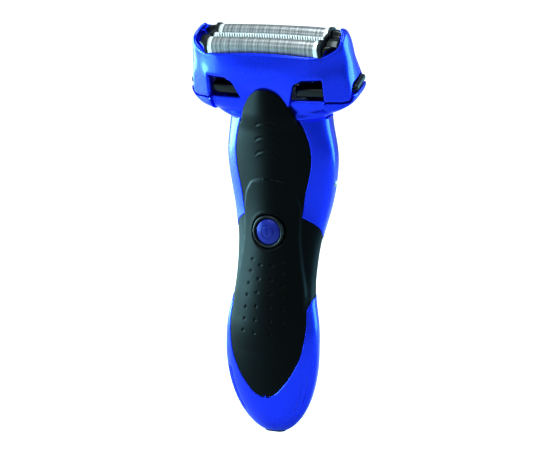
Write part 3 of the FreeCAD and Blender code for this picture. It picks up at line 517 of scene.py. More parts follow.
GROUPS = {"tone": tone_group(), "grain": grain_group(), "brushed": brushed_group()}
print("node groups:", [group.name for group in GROUPS.values()])


# %% One finish from a line of values
def make_finish(name, colour, metallic, roughness, coat=0.0, tone=0.1, spread=0.08, relief="grain",
                scale=1500.0, height=0.01, coat_roughness=0.04, specular=0.5):
    """Principled material: base colour and roughness from uneven_tone, and a relief of height millimetres."""
    material = bpy.data.materials.new(name)
    material.use_nodes = True
    tree = material.node_tree
    shader = tree.nodes["Principled BSDF"]
    place = tree.nodes.new("ShaderNodeTexCoord").outputs["Object"]
    uneven = add_node(tree, "ShaderNodeGroup", node_tree=GROUPS["tone"])
    values = {"Colour": (*colour, 1.0), "Tone": tone, "Roughness": roughness, "Spread": spread}
    for label, value in values.items():
        uneven.inputs[label].default_value = value
    tree.links.new(place, uneven.inputs["Vector"])
    tree.links.new(uneven.outputs["Colour"], shader.inputs["Base Color"])
    tree.links.new(uneven.outputs["Roughness"], shader.inputs["Roughness"])
    ground = add_node(tree, "ShaderNodeGroup", node_tree=GROUPS[relief])
    ground.inputs["Scale"].default_value = scale
    tree.links.new(place, ground.inputs["Vector"])
    relief_by = [("Height", ground.outputs["Height"]), ("Distance", height * MM), ("Strength", 1.0)]
    bump = add_node(tree, "ShaderNodeBump", relief_by)
    tree.links.new(bump.outputs["Normal"], shader.inputs["Normal"])
    shader.inputs["Metallic"].default_value = metallic
    shader.inputs["Coat Weight"].default_value = coat
    shader.inputs["Coat Roughness"].default_value = coat_roughness
    shader.inputs["Specular IOR Level"].default_value = specular
    return material


# %% All finishes
# name: colour, metallic, roughness, and what differs from the defaults
FINISH_VALUES = {
    "blue_gloss": ((0.0015, 0.024, 0.82), 0.85, 0.27,
                   dict(coat=0.22, tone=0.03, spread=0.02, scale=260.0, height=0.0012, coat_roughness=0.1)),
    "grip_rubber": ((0.001, 0.0014, 0.0016), 0.0, 0.42,
                    dict(tone=0.2, scale=3200.0, height=0.012, specular=0.05)),
    "seal_rubber": ((0.02, 0.02, 0.022), 0.0, 0.6, dict(scale=2500.0, height=0.02)),
    "cell_wrap": ((0.10, 0.30, 0.12), 0.0, 0.3, dict(coat=0.4, scale=500.0)),
    "nickel": ((0.55, 0.53, 0.48), 1.0, 0.28, dict(relief="brushed", scale=6000.0, height=0.006)),
    "black_plastic": ((0.002, 0.002, 0.0025), 0.0, 0.4, dict(scale=2600.0, specular=0.2)),
    "black_gloss": ((0.0015, 0.0015, 0.002), 0.0, 0.2,
                    dict(tone=0.2, spread=0.05, scale=400.0, height=0.003, specular=0.25)),
    "board_green": ((0.01, 0.16, 0.06), 0.0, 0.35, dict(coat=0.3, scale=900.0, height=0.02)),
    "zinc_steel": ((0.42, 0.43, 0.45), 1.0, 0.32, dict(scale=1800.0, height=0.008)),
    "motor_steel": ((0.36, 0.36, 0.38), 1.0, 0.34, dict(relief="brushed", scale=5000.0, height=0.008)),
    "spring_steel": ((0.45, 0.45, 0.47), 1.0, 0.25, dict(relief="brushed", scale=7000.0, height=0.004)),
    "white_acetal": ((0.72, 0.73, 0.72), 0.0, 0.42, dict(tone=0.04, scale=2000.0, height=0.008)),
    "button_blue": ((0.006, 0.012, 0.20), 0.3, 0.24,
                    dict(coat=0.15, tone=0.05, spread=0.05, scale=400.0, height=0.003, specular=0.2)),
    "blade_steel": ((0.5, 0.51, 0.53), 1.0, 0.22, dict(relief="brushed", scale=8000.0, height=0.004)),
    "foil_steel": ((0.62, 0.63, 0.66), 1.0, 0.2, dict(relief="brushed", scale=7000.0, height=0.004)),
}
FINISH = {name: make_finish(name, *values, **others) for name, (*values, others) in FINISH_VALUES.items()}
for part in frame["record"]["subparts"]:
    mesh = frame["nodes"][part["node"]].data
    mesh.materials.clear()
    mesh.materials.append(FINISH[part["material_slot"]])
print("finishes:", len(FINISH), "for", len(frame["nodes"]), "pieces")

# %% [markdown]
# ## Blue casings
#
# Two blue shells close round the handle. In front they leave a black hourglass:
# a deep U at the bottom, and above it two tall panels either side of the
# button. A panel's edge is where light catches, so each rolls over by a small
# radius. The shells are the skin itself, cut along those curves, with a wall
# given afterwards.

# %% Where black meets blue
SEAM = 1.28
U_FOOT = 17.2
u_heights = np.array([17.2, 19.1, 22.2, 25.4, 28.6, 31.7, 38.1, 44.4, 50.8])
u_widths = np.array([0.0, 4.7, 7.7, 10.2, 12.0, 13.6, 15.5, 16.3, 16.1])
HORN_TOP = 57.4
u_places = np.concatenate([place_at(u_widths, u_heights), [0.76, 0.87, 1.01, SEAM]])
u_places[0] = 0.0
u_rises = np.sqrt(np.concatenate([u_heights, [53.6, 55.6, 56.7, HORN_TOP]]) - U_FOOT)
u_curve = smooth_curve(u_rises, u_places)
panel_side = smooth_curve([86, 90.3, 96.7, 103, 109.4, 115.7, 118.9, 122, 125.2, 130],
                          [0.485, 0.498, 0.508, 0.54, 0.566, 0.57, 0.56, 0.538, 0.50, 0.45])
panel_foot = smooth_curve([0.38, 0.485, 0.62, 0.8, 1.0, 1.2, 1.28, 1.6, 2.0],
                          [89.0, 88.2, 86.5, 84.1, 81.2, 78.9, 78.1, 77.0, 76.6])
PANEL_FOOT, PANEL_TOP = 88.0, 126.6
BOW_X, BOW_Z, BOW_BEND, BOW_APART, BOW_HALF, BOW_DEEP = 17.2, 28.7, 0.0157, 1.6, 0.4, 0.6


def u_edge(z):
    """Place of the U's edge at height z, a smooth function of the root of the height above its foot."""
    return np.clip(u_curve(np.sqrt(np.clip(z - U_FOOT, 0, None))), 0, SEAM)


def bow_lines(p, z):
    """The two fine grooves beside the foot: a valley exp(-(d / half)^2) along x = BOW_X - bend (BOW_Z - z)^2,
    and a shallower one nearer the middle."""
    off = np.abs(skin(p, z)[..., 0]) - BOW_X + BOW_BEND * (BOW_Z - z) ** 2
    near = np.exp(-((off / BOW_HALF) ** 2)) + 0.8 * np.exp(-(((off + BOW_APART) / BOW_HALF) ** 2))
    return -BOW_DEEP * near * ease(9.5, 12.0, z) * (1 - ease(26.5, 29.0, z))


print("the U rises from", U_FOOT, "to", HORN_TOP, "mm")

# %% Lower front
ROLL, SHELL_END, U_BOWL = 0.5, 2.2, 2.4
up_u = np.linspace(U_FOOT + 1e-4, HORN_TOP, 400)
low_lip = skin(u_edge(up_u), up_u)
under_u = steps(SHELL_END, U_FOOT, 0.8, 0.25, (U_FOOT,), 1.2)
beside_u = steps(U_FOOT + U_BOWL, HORN_TOP, 0.8, 0.25)
rows = np.concatenate([under_u[:-1], U_FOOT + U_BOWL * np.linspace(0, 1, 18) ** 2, beside_u[1:]])
across = 1 - np.cos(np.linspace(0, np.pi / 2, 84))
z = rows[:, None] + 0 * across[None]
start = u_edge(rows)[:, None]
p = start + (SEAM - start) * across[None]
height = -edge_round(distance_to(skin(p, z), low_lip), ROLL) * (z > U_FOOT - 1) + bow_lines(p, z)
low_right = raised(p, z, height)
low_left = raised(-p[:, ::-1], z[:, ::-1], height[:, ::-1])
print("foot of the casing:", low_right.shape)


# %% Upper panels
def panel_places(rows, columns):
    """Places of a panel: columns from its inner edge to the seam, rows from its curved foot to the head."""
    u, v = np.meshgrid(columns, rows)
    z = PANEL_FOOT + (PANEL_TOP - PANEL_FOOT) * v
    for _ in range(30):
        side = panel_side(np.clip(z, 86, 130))
        p = side + (SEAM - side) * u
        foot = panel_foot(p)
        z = foot + (PANEL_TOP - foot) * v
    return p, z


p, z = panel_places(steps(0, 1, 0.022, 0.004, (), 0.02), 1 - np.cos(np.linspace(0, np.pi / 2, 40)))
rim_up = np.linspace(88.4, PANEL_TOP, 300)
rim_round = np.linspace(0.47, SEAM, 200)
panel_lip = np.concatenate([skin(panel_side(rim_up), rim_up), skin(rim_round, panel_foot(rim_round))])
height = -edge_round(distance_to(skin(p, z), panel_lip), ROLL)
high_right = raised(p, z, height)
high_left = raised(-p[:, ::-1], z[:, ::-1], height[:, ::-1])
IN_HANDLE = (0, 2, 60)
front_shell = make_piece("front_casing_skin", [low_right, low_left, high_right, high_left], IN_HANDLE)
give_wall(front_shell, 1.3)
dress(front_shell, "handle", "blue_gloss", FINISH["blue_gloss"], "front_casing")


# %% Places on the back
SIDE_Q = 2 - SEAM


def back_skin(q, z, height=0.0):
    """Point of the back at place q, 0 on the back line and growing to the right."""
    side = np.where(np.asarray(q) < 0, -1.0, 1.0)
    return raised(side * (2 - np.abs(q)), z, height + 0 * z)


def back_at(x, z):
    """The place q on the back where the skin is x from the middle."""
    return halved(lambda q: back_skin(q, z)[..., 0], x, np.zeros_like(z), np.full_like(z, SIDE_Q))


REAR_FOOT = 17.9
rear_u = smooth_curve([REAR_FOOT, 18.6, 20, 24, 30, 38, 46, 52, 55.5, HORN_TOP],
                      [0.0, 0.10, 0.19, 0.32, 0.43, 0.50, 0.53, 0.58, 0.65, SIDE_Q])
print("the back's U rises from", REAR_FOOT, "mm")

# %% Rear casing below the pocket
rows = steps(SHELL_END, HORN_TOP, 1.4, 0.3, (REAR_FOOT,), 1.2)
start = np.where(rows < REAR_FOOT, 0.0, np.clip(rear_u(rows), 0, SIDE_Q))[:, None]
q = start + (SIDE_Q - start) * np.linspace(0, 1, 30)[None]
z = rows[:, None] + 0 * q
low_back = [back_skin(q, z), back_skin(-q[:, ::-1], z)]
POCKET_FOOT, POCKET_HALF, MIDDLE_Q = 104.9, 11.9, 0.38
columns = both_sides(np.concatenate([np.linspace(0, MIDDLE_Q, 16), np.linspace(MIDDLE_Q, SIDE_Q, 16)[1:]]))
corner = back_at(POCKET_HALF, np.array([POCKET_FOOT]))[0]
columns = np.sort(np.concatenate([columns, [-corner, corner]]))
foot = panel_foot(2 - np.abs(columns))
share = np.linspace(0, 1, 26)[:, None]
q = columns[None] + 0 * share
z = foot[None] + (POCKET_FOOT - foot[None]) * share
belt = back_skin(q, z)
print("belt below the trimmer:", belt.shape[:2])

# %% Rear casing beside the pocket
beside = columns[columns >= corner]
rows = np.linspace(POCKET_FOOT, PANEL_TOP, 24)
inner = back_at(POCKET_HALF, rows)[:, None]
q = inner + (SIDE_Q - inner) * ((beside - corner) / (SIDE_Q - corner))[None]
z = rows[:, None] + 0 * q
wings = [back_skin(q, z), back_skin(-q[:, ::-1], z)]
rear_shell = make_piece("rear_casing_skin", [*low_back, belt, *wings], IN_HANDLE)
give_wall(rear_shell, 1.3)
dress(rear_shell, "handle", "blue_gloss", FINISH["blue_gloss"], "rear_casing")

# %% Pocket of the trimmer
POCKET_BACK, POCKET_WALL = 19.6, 0.8
edge = back_skin(back_at(POCKET_HALF, rows), rows)
edge[:, 0] = POCKET_HALF
brow = belt[-1, np.abs(columns) <= corner + 1e-9]
brow_in, edge_in = brow.copy(), edge.copy()
brow_in[:, 1] = edge_in[:, 1] = POCKET_BACK
across = np.linspace(-1, 1, 12)[:, None]
tray = edge_in[:, None] * np.concatenate([across, 1 + 0 * across, 1 + 0 * across], -1)
sides = [np.stack([edge, edge_in]), np.stack([edge_in, edge]) * MIRROR]
pocket = make_piece("trimmer_pocket", [*sides, np.stack([brow_in, brow]), tray], (0, 60, 116))
give_wall(pocket, -POCKET_WALL)
dress(pocket, "handle", "black_plastic", FINISH["black_plastic"])

# %% Shoulder pips
PIP_P, PIP_Z, PIP_R, PIP_TALL, PIP_SUNK = 1.06, 100.7, 1.3, 0.75, 0.1


def pip(side):
    """Dome on the skin at p = side times PIP_P: rings of radius R cos and height tall times sin."""
    root, out = skin(side * PIP_P, PIP_Z), skin_normal(side * PIP_P, PIP_Z)
    level_way = np.cross(out, (0, 0, 1.0))
    level_way /= np.linalg.norm(level_way)
    rise_way = np.cross(level_way, out)
    turn, bend = turns(24)[None, :, None], np.linspace(0, np.pi / 2, 8)
    radius = np.concatenate([[0.0], PIP_R * np.cos(bend)])[:, None, None]
    height = np.concatenate([[-0.9], PIP_TALL * np.sin(bend) - PIP_SUNK])[:, None, None]
    return root + radius * (np.cos(turn) * level_way + np.sin(turn) * rise_way) + height * out


pips = make_piece("shoulder_pips", [pip(-1), pip(1)], wrap=True)
dress(pips, "handle", "zinc_steel", FINISH["zinc_steel"])

# %% [markdown]
# ## Rubber grips
#
# The grip is one black moulding that lies just below the blue and carries a
# raised pad where the fingers go. Everything on it is a height over the skin:
# the pad, the dish round the button, three arcs for the thumb and two curved
# columns of dimples each side. The sum of those heights bends the sheet.

# %% Edge of the front grip
TONGUE_TOP = 138.5
TONGUE = np.array([(TONGUE_TOP, 0.0), (137.6, 3.6), (136, 6.1), (134, 8.0), (132, 9.3), (130.2, 10.2),
                   (128, 11.0), (125.2, 11.8)])
tongue_half = smooth_curve(np.sqrt(TONGUE_TOP - TONGUE[:, 0]), TONGUE[:, 1])
UNDER = 0.05


def grip_edge(z):
    """Place of the sheet's edge: it follows every blue edge, a little under it, and then the tongue."""
    low = u_edge(z) + UNDER
    foot_p = np.linspace(SEAM, 0.49, 60)
    middle = np.interp(z, panel_foot(foot_p), foot_p) + UNDER
    high = panel_side(np.clip(z, 86, 130)) + UNDER
    tongue = place_at(np.clip(tongue_half(np.sqrt(np.clip(TONGUE_TOP - z, 0, None))), 0, None), z)
    edge = np.where(z < HORN_TOP, low, np.where(z < 88.1, middle, high))
    blend = ease(122.0, 126.0, z)
    return np.where(z > 122, edge * (1 - blend) + tongue * blend, edge)


print("tongue", round(float(2 * TONGUE[-1, 1]), 1), "mm wide at", TONGUE[-1, 0], "mm")

# %% Relief of the front grip
PAD_TOP, BUTTON_Z = 103.3, 82.6
pad_half = smooth_curve([46, 54, 58, 66, 76, 81, 88, 90, 94, 98.5, 100.8, 102.5, PAD_TOP],
                        [15.7, 15.3, 15.1, 13.75, 12.2, 11.8, 12.0, 12.1, 11.4, 10.0, 8.4, 5.2, 0.5])
SHEET, PAD_RISE, TONGUE_RISE, DISH = -0.28, 0.72, 1.0, 1.7
# top, half width and drop of each thumb arc
ARCS = ((125.4, 4.2, 1.0), (119.8, 5.1, 1.4), (114.4, 5.4, 1.9))
# count, top and bottom height, top and bottom distance from the middle of each column of dimples
DIMPLES = ((7, 71.4, 43.8, 6.1, 8.9), (6, 69.6, 43.3, 2.3, 3.5))
DIMPLE_R, DIMPLE_DEEP = 0.62, 0.36


def arc_height(x, z, top, half, drop):
    """A groove with a soft lip below it along an arc that drops at its ends."""
    line = top - drop * (x / half) ** 2
    off = z - line
    fade = 1 - ease(half - 1.2, half + 0.2, np.abs(x))
    return fade * (-0.28 * np.exp(-((off / 0.4) ** 2)) + 0.09 * np.exp(-(((off + 0.95) / 0.5) ** 2)))


def dimple_height(x, z, count, high, low, x_high, x_low):
    """Round dimples spaced along a leaning column on both sides: minus deep times sqrt(1 - (r / R)^2)."""
    spots_z = np.linspace(high, low, count)
    spots_x = np.linspace(x_high, x_low, count)
    away = np.sqrt((np.abs(x)[..., None] - spots_x) ** 2 + (z[..., None] - spots_z) ** 2).min(-1)
    return -DIMPLE_DEEP * np.sqrt(np.clip(1 - (away / DIMPLE_R) ** 2, 0, 1))


def grip_height(p, z):
    """Height of the grip over the skin: lowered sheet, raised pad, dish, arcs and dimples."""
    x = skin(p, z)[..., 0]
    on_pad = ease(-0.9, 0.9, pad_half(np.clip(z, 46, PAD_TOP)) - np.abs(x)) * (z < PAD_TOP) * ease(48, 60, z)
    height = SHEET + PAD_RISE * on_pad + TONGUE_RISE * ease(121, 129, z)
    away = np.hypot(x, z - BUTTON_Z)
    height = height - DISH * (1 - ease(6.1, 7.3, away)) + 0.12 * np.exp(-(((away - 7.6) / 0.6) ** 2))
    for arc in ARCS:
        height = height + arc_height(x, z, *arc)
    for column in DIMPLES:
        height = height + dimple_height(x, z, *column)
    return height


print("dimples on both sides:", 2 * sum(column[0] for column in DIMPLES))

# %% Front grip
low_rows, high_rows = steps(U_FOOT - 0.6, 60, 0.5, 0.28, (45, 52), 8.0), np.linspace(60, 130, 240)
top_rows = TONGUE_TOP - (TONGUE_TOP - 130) * np.linspace(1, 0, 40) ** 2
rows = np.minimum(np.concatenate([low_rows[:-1], high_rows[:-1], top_rows]), TONGUE_TOP - 0.3)
columns = both_sides(np.concatenate([np.linspace(0, 0.62, 40), np.linspace(0.62, 1, 16)[1:]]))
z = rows[:, None] + 0 * columns[None]
p = grip_edge(np.maximum(rows, U_FOOT + 0.02))[:, None] * columns[None]
height = grip_height(p, z)
tongue_z = TONGUE_TOP - 14.0 * np.linspace(1, 0, 240) ** 2
rim = skin(grip_edge(tongue_z), tongue_z)
rim = np.concatenate([rim, rim * MIRROR])
height = height - edge_round(distance_to(skin(p, z), rim), 0.7) * ease(123, 126, z)
grip = make_piece("front_grip_skin", [raised(p, z, height)], (0, 2, 80), corner=60.0)
give_wall(grip, 1.0)
dress(grip, "handle", "grip_rubber", FINISH["grip_rubber"], "front_grip")

# %% Rear grip
rows = np.linspace(16.9, 82.0, 110)
below_horns = np.clip(rear_u(np.clip(rows, REAR_FOOT, HORN_TOP)), 0.02, SIDE_Q) + UNDER
rear_edge = np.where(rows < HORN_TOP, below_horns, SIDE_Q + 0.02)
q = rear_edge[:, None] * np.linspace(-1, 1, 60)[None]
z = rows[:, None] + 0 * q
RIB_RISE, RIB_PITCH = 0.22, 4.0
from_rib = (z - 22.0) % RIB_PITCH - RIB_PITCH / 2
ribs = RIB_RISE * np.exp(-((from_rib / 0.9) ** 2)) * ease(34, 38, z) * (1 - ease(70, 74, z))
ribs = ribs * (1 - ease(7.0, 9.5, np.abs(back_skin(q, z)[..., 0])))
rear_grip = make_piece("rear_grip_skin", [back_skin(q, z, SHEET + ribs)], (0, 2, 50), corner=60.0)
give_wall(rear_grip, 1.0)
dress(rear_grip, "handle", "grip_rubber", FINISH["grip_rubber"], "rear_grip")

# %% [markdown]
# ## Power button
#
# A shallow dome in a black ring, with the usual power sign: a circle with a
# bar in it. Both are turned shapes, a profile carried round the button's axis. The
# sign is a groove in the dome, cut into its height.

# %% Power button
BUTTON_R, BUTTON_FACE, BUTTON_CROWN, BUTTON_ROLL, CAP_BACK = 5.1, -8.9, 0.9, 0.5, -7.1
SIGN_R, SIGN_BAR, SIGN_DEEP = 2.5, 1.1, 0.24


def turned(profile, count):
    """Grid of a profile of (radius, y) carried round the button's front-to-back axis."""
    angle = turns(count)
    radius, y = profile[:, :1], profile[:, 1:]
    return np.stack([radius * np.sin(angle), y + 0 * angle, BUTTON_Z + radius * np.cos(angle)], axis=-1)


def line_at(distance):
    """1 on a line of the sign and 0 beside it."""
    return 1 - ease(0.18, 0.32, distance)


flat_r = BUTTON_R - BUTTON_ROLL
roll = flat_r + BUTTON_ROLL * np.sin(np.linspace(0, np.pi / 2, 8)[1:])
radius = np.concatenate([np.linspace(0, flat_r, 60), roll])
y = BUTTON_FACE + BUTTON_CROWN * (radius / BUTTON_R) ** 2 + 0.8 * edge_round(BUTTON_R - radius, BUTTON_ROLL)
cap = turned(np.stack([radius, y], 1), 144)
x, up = cap[..., 0], cap[..., 2] - BUTTON_Z
ring_sign = line_at(np.abs(np.hypot(x, up) - SIGN_R))
bar_sign = line_at(np.abs(x)) * (1 - ease(SIGN_BAR, SIGN_BAR + 0.15, np.abs(up)))
cap[..., 1] += SIGN_DEEP * np.maximum(ring_sign, bar_sign)
skirt = turned(np.array([(BUTTON_R, y[-1]), (BUTTON_R, CAP_BACK), (0, CAP_BACK)]), 144)
button = make_piece("power_button_cap", [cap, skirt], wrap=True, corner=50.0)
dress(button, "power_button", "button_blue", FINISH["button_blue"], "power_button")

# %% Ring of the button
RING_MIDDLE, RING_HALF, RING_FRONT, RING_BACK = 5.9, 0.55, -8.05, -6.75
bend = np.linspace(0, np.pi, 14)
lip = np.stack([RING_MIDDLE - RING_HALF * np.cos(bend), RING_FRONT - 0.5 * np.sin(bend)], 1)
foot = [(5.3, RING_BACK)]
profile = np.concatenate([foot, lip, [(6.45, RING_BACK)], foot])
ring = make_piece("button_ring_lip", [turned(profile, 96)], wrap=True, corner=50.0)
dress(ring, "handle", "black_plastic", FINISH["black_plastic"], "button_ring")

# %% [markdown]
# ## Charging end
#
# The foot of the handle closes round the charging socket: a small black lip
# with a deep mouth. One loft makes it: outlines stacked from the shell inwards
# and then up into the mouth.

# %% Outlines of the charging end
def level(flat, z):
    """Closed outline at height z."""
    return np.concatenate([flat, np.full((len(flat), 1), z)], 1)


angle = np.linspace(-np.pi, np.pi, 72, endpoint=False)
squared = np.stack([signed_power(np.sin(angle), 0.35), signed_power(-np.cos(angle), 0.35)], -1)
shell_end = skin(2 * angle / np.pi, np.full_like(angle, SHELL_END))[:, :2]
centre = shell_end.mean(0)
on_middle = np.array([0, centre[1]])
mouth = 0.72 * squared * (4.2, 2.35) + on_middle
print("foot of the shell:", np.ptp(shell_end, axis=0).round(1), "mm")

# %% Socket lip
INNER_TOP, MOUTH_TOP = 10.6, 9.4
point = 0 * squared + on_middle
levels = [
    (point, INNER_TOP),
    (squared * (4.3, 2.6) + on_middle, INNER_TOP),
    ((shell_end - centre) * 0.9 + centre, 4.0),
    ((shell_end - centre) * 0.97 + centre, 2.15),
    ((shell_end - centre) * 0.9 + centre, 1.75),
    ((mouth - on_middle) * 1.04 + on_middle, 1.6),
    (mouth, 1.8),
    (mouth, MOUTH_TOP),
    (point, MOUTH_TOP),
]
loft = np.stack([level(flat, z) for flat, z in levels])
socket = make_piece("charging_mouth", [loft], wrap=True, corner=40.0)
dress(socket, "handle", "black_plastic", FINISH["black_plastic"], "charging_socket")

# %% [markdown]
# ## The head
#
# The head leans forward by 22 degrees, so it is easiest to build upright in its
# own coordinates: x to the right, u to the back and h up. Its outline at each
# height is a rounded rectangle, |x/W|^n + |u/D|^n = 1, whose numbers change
# smoothly with h. A lower exponent n is rounder.

# %% Head coordinates
LEAN = np.radians(22.0)
HEAD_Y, HEAD_Z = 11.5, 113.7
APRON_TOP, APRON_HALF = 35.6, 15.6
PILLAR_X = 24.5


def to_world(points):
    """Turns (x, u, h) by the lean about X and carries it to the head's place."""
    x, u, h = points[..., 0], points[..., 1], points[..., 2]
    back, up = u * np.cos(LEAN) - h * np.sin(LEAN), u * np.sin(LEAN) + h * np.cos(LEAN)
    return np.stack([x, HEAD_Y + back, HEAD_Z + up], -1)


def to_head(points):
    """The way back from to_world."""
    back, up = points[:, 1] - HEAD_Y, points[:, 2] - HEAD_Z
    u, h = back * np.cos(LEAN) + up * np.sin(LEAN), up * np.cos(LEAN) - back * np.sin(LEAN)
    return np.stack([points[:, 0], u, h], -1)


def head_point(x, u, h):
    """One point of the head as a tuple in millimetres of the frame."""
    return tuple(to_world(np.array([x, u, h], float)))


print("the head stands on", [round(v, 1) for v in head_point(0, 0, 0)])

# %% Outlines of the frame and the base
# height, half width, front, back, exponent
FRAME_OUTLINE = np.array([
    (22, 33.4, -13.2, 13.4, 3.9), (27, 34.0, -13.35, 13.6, 3.8), (31.5, 33.9, -13.4, 13.6, 3.3),
    (36, 33.5, -13.3, 13.5, 2.85), (40, 33.1, -12.5, 13.1, 2.7), (44.5, 32.5, -10.9, 12.4, 3.1),
    (48, 31.7, -9.8, 11.6, 3.3), (50, 30.5, -9.3, 11.0, 3.3), (51.6, 28.4, -8.8, 10.0, 3.3)], float)
BASE_OUTLINE = np.array([
    (11.5, 18.2, -11.0, 13.6, 2.4), (14.5, 19.0, -11.6, 14.2, 2.5), (17.2, 21.8, -12.2, 14.2, 2.7),
    (19.6, 25.4, -12.8, 14.0, 2.9), (21.9, 29.9, -13.1, 13.8, 3.5), (24.2, 33.5, -13.3, 13.7, 3.8),
    (28.5, 34.9, -13.3, 13.7, 3.8)], float)


def outline_curves(table):
    """Half width, front, back and exponent as smooth functions of the height."""
    return [smooth_curve(table[:, 0], table[:, k]) for k in range(1, 5)]


FRAME_CURVES, BASE_CURVES = outline_curves(FRAME_OUTLINE), outline_curves(BASE_OUTLINE)
RIDGE_X, RIDGE_U, RIDGE_FOOT, RIDGE_TALL = 24.7, -12.3, 27.0, 19.0
CHAMFER_WAY = np.array([8.9, 5.6]) / np.hypot(8.9, 5.6)


def chamfer(x, u, h):
    """Cuts the front corners by a plane that runs along CHAMFER_WAY from the ridge: a point outside it
    goes back by (d + sqrt(d^2 + soft^2)) / 2, d its distance from the plane. Higher up the ridge moves back
    and softens."""
    up = np.clip((h - RIDGE_FOOT) / RIDGE_TALL, 0, 1.4)
    ridge_x, ridge_u = RIDGE_X - 0.3 * up, RIDGE_U + 2.3 * up
    away = (np.abs(x) - ridge_x) * CHAMFER_WAY[1] - (u - ridge_u) * CHAMFER_WAY[0]
    soft = 0.35 + 1.3 * ease(34.0, 44.0, h)
    back = (away + np.sqrt(away**2 + soft**2)) / 2 * ease(-1.0, 2.0, -u) * ease(21.0, 24.5, h)
    back = np.where(away > -3.0, back, 0.0) * ease(-3.0, -1.0, away)
    return x - np.sign(x) * back * CHAMFER_WAY[1], u + back * CHAMFER_WAY[0]


def outline(turn, h, curves):
    """(x, u, h) at angle turn from the front: x = W sin^(2/n), u = D cos^(2/n), with the signs kept."""
    width, front, back, power = (curve(h) for curve in curves)
    s, c = np.sin(turn), np.cos(turn)
    x = width * signed_power(s, 2 / power)
    u = np.where(c > 0, front, -back) * signed_power(c, 2 / power)
    x, u = chamfer(x, u, h)
    return np.stack([x, u, h + 0 * x], -1)


print("outline tables:", len(FRAME_OUTLINE), "heights of the frame,", len(BASE_OUTLINE), "of the base")


# %% Columns round an outline
def turn_at(x, h, curves):
    """Angle on the front where the outline is x from the middle."""
    width, power = curves[0](h), curves[3](h)
    return np.arcsin(np.clip(np.abs(x) / width, 0, 1) ** (power / 2)) * np.sign(x)


def turns_of(column, h, curves):
    """Angle of a column: up to 1 it stays at x = column times PILLAR_X, then it goes round to the back."""
    edge = turn_at(PILLAR_X + 0 * h, h, curves)
    side = np.clip(np.abs(column) - 1, 0, 1)
    front = turn_at(np.clip(np.abs(column), 0, 1) * PILLAR_X + 0 * h, h, curves)
    return np.sign(column) * np.where(np.abs(column) <= 1, front, edge + (np.pi - edge) * side)


def around(column, h, curves):
    """Outline at the given columns and heights."""
    h = h + 0 * column
    return outline(turns_of(column + 0 * h, h, curves), h, curves)


def push_in(points, amount):
    """Moves points inwards by amount, along the outline's normal taken from its neighbours in the grid."""
    normal = np.cross(np.gradient(points, axis=1), np.gradient(points, axis=0))
    normal /= np.maximum(np.linalg.norm(normal, axis=-1, keepdims=True), 1e-9)
    return points - normal * np.asarray(amount)[..., None]


APRON_SHARE = APRON_HALF / PILLAR_X
over_apron, over_window = np.linspace(0, APRON_HALF, 26)[:-1], np.linspace(APRON_HALF, PILLAR_X, 16)
front_columns = np.concatenate([over_apron, over_window]) / PILLAR_X
side_columns = 1 + steps(0, 1, 0.022, 0.006, (0.12,), 0.06)
columns = both_sides(np.concatenate([front_columns, side_columns[1:]]))
of_wing = columns >= 1 - 1e-9
of_apron = np.abs(columns) <= APRON_SHARE + 1e-9
print("columns round the head:", len(columns))

# %% [markdown]
# ## Head frame
#
# The frame is one blue wall round the foils. It has a low curved lip in front
# and high shoulders at the sides, where a user grips it. Below it splits into a
# front apron between two windows, and a wall round the sides and back.

# %% Edges of the frame
LIP_TOP, LIP_SAG, SHOULDER_TOP, BACK_FALL = 46.1, 1.6, 51.1, 3.5
SKIRT_FOOT, FRONT_STEP, GATE_RISE = 25.4, 1.4, 6.2


def top_edge(x, u):
    """Height of the rim: a lip in front that sags to its ends, shoulders at u = 3, and a lower back."""
    lip = LIP_TOP - LIP_SAG * (np.clip(np.abs(x), 0, 24) / 24) ** 2
    rise = lip + (SHOULDER_TOP - lip) * ease(-9.4, 2.6, u) ** 0.85
    fall = SHOULDER_TOP - BACK_FALL * ease(3.4, 10.5, u)
    return np.where(u < 3.0, rise, fall)


def front_step(u):
    """Height that a lower edge gains in front, by a smooth step."""
    return FRONT_STEP * (1 - ease(-12.0, -8.0, u))


def side_gate(u):
    """1 beside the release button, 0 elsewhere."""
    return ease(-7.0, -5.4, u) * (1 - ease(6.2, 7.8, u))


reference = around(columns, 46.0, FRAME_CURVES)
rim = top_edge(reference[:, 0], reference[:, 1])
print("rim from", rim.min().round(1), "to", rim.max().round(1), "mm in the head")

# %% Upper wall of the frame
v = np.concatenate([np.linspace(0, 0.72, 14)[:-1], 0.72 + 0.28 * np.sin(np.linspace(0, np.pi / 2, 14))])
h = APRON_TOP + (rim[None] - APRON_TOP) * v[:, None]
upper = around(columns[None], h, FRAME_CURVES)
drop = edge_round(distance_to(upper, upper[-1]), 1.1)
out = np.abs(upper[..., 0])
window_head = ease(15.0, 16.4, out) * (1 - ease(23.6, PILLAR_X, out)) * (np.abs(columns)[None] <= 1.0)
drop = drop + edge_round(np.abs(h - APRON_TOP), 1.6) * window_head
upper = push_in(upper, drop)
print("upper wall:", upper.shape[:2])

# %% Skirt round the sides and back
wing = columns[of_wing]
beside = around(wing, 28.0, FRAME_CURVES)[:, 1]
skirt_foot = SKIRT_FOOT + front_step(beside) + GATE_RISE * side_gate(beside)
v = 1 - (1 - np.linspace(0, 1, 20)) ** 1.4
h = skirt_foot[None] + (APRON_TOP - skirt_foot[None]) * v[:, None]
skirt = around(wing[None], h, FRAME_CURVES)
falls = edge_round(distance_to(skirt, skirt[0]), 0.6)
falls[-1] = 0
skirt = push_in(skirt, falls)
skirt[-1] = upper[0, of_wing]
print("skirt of each side:", skirt.shape[:2])

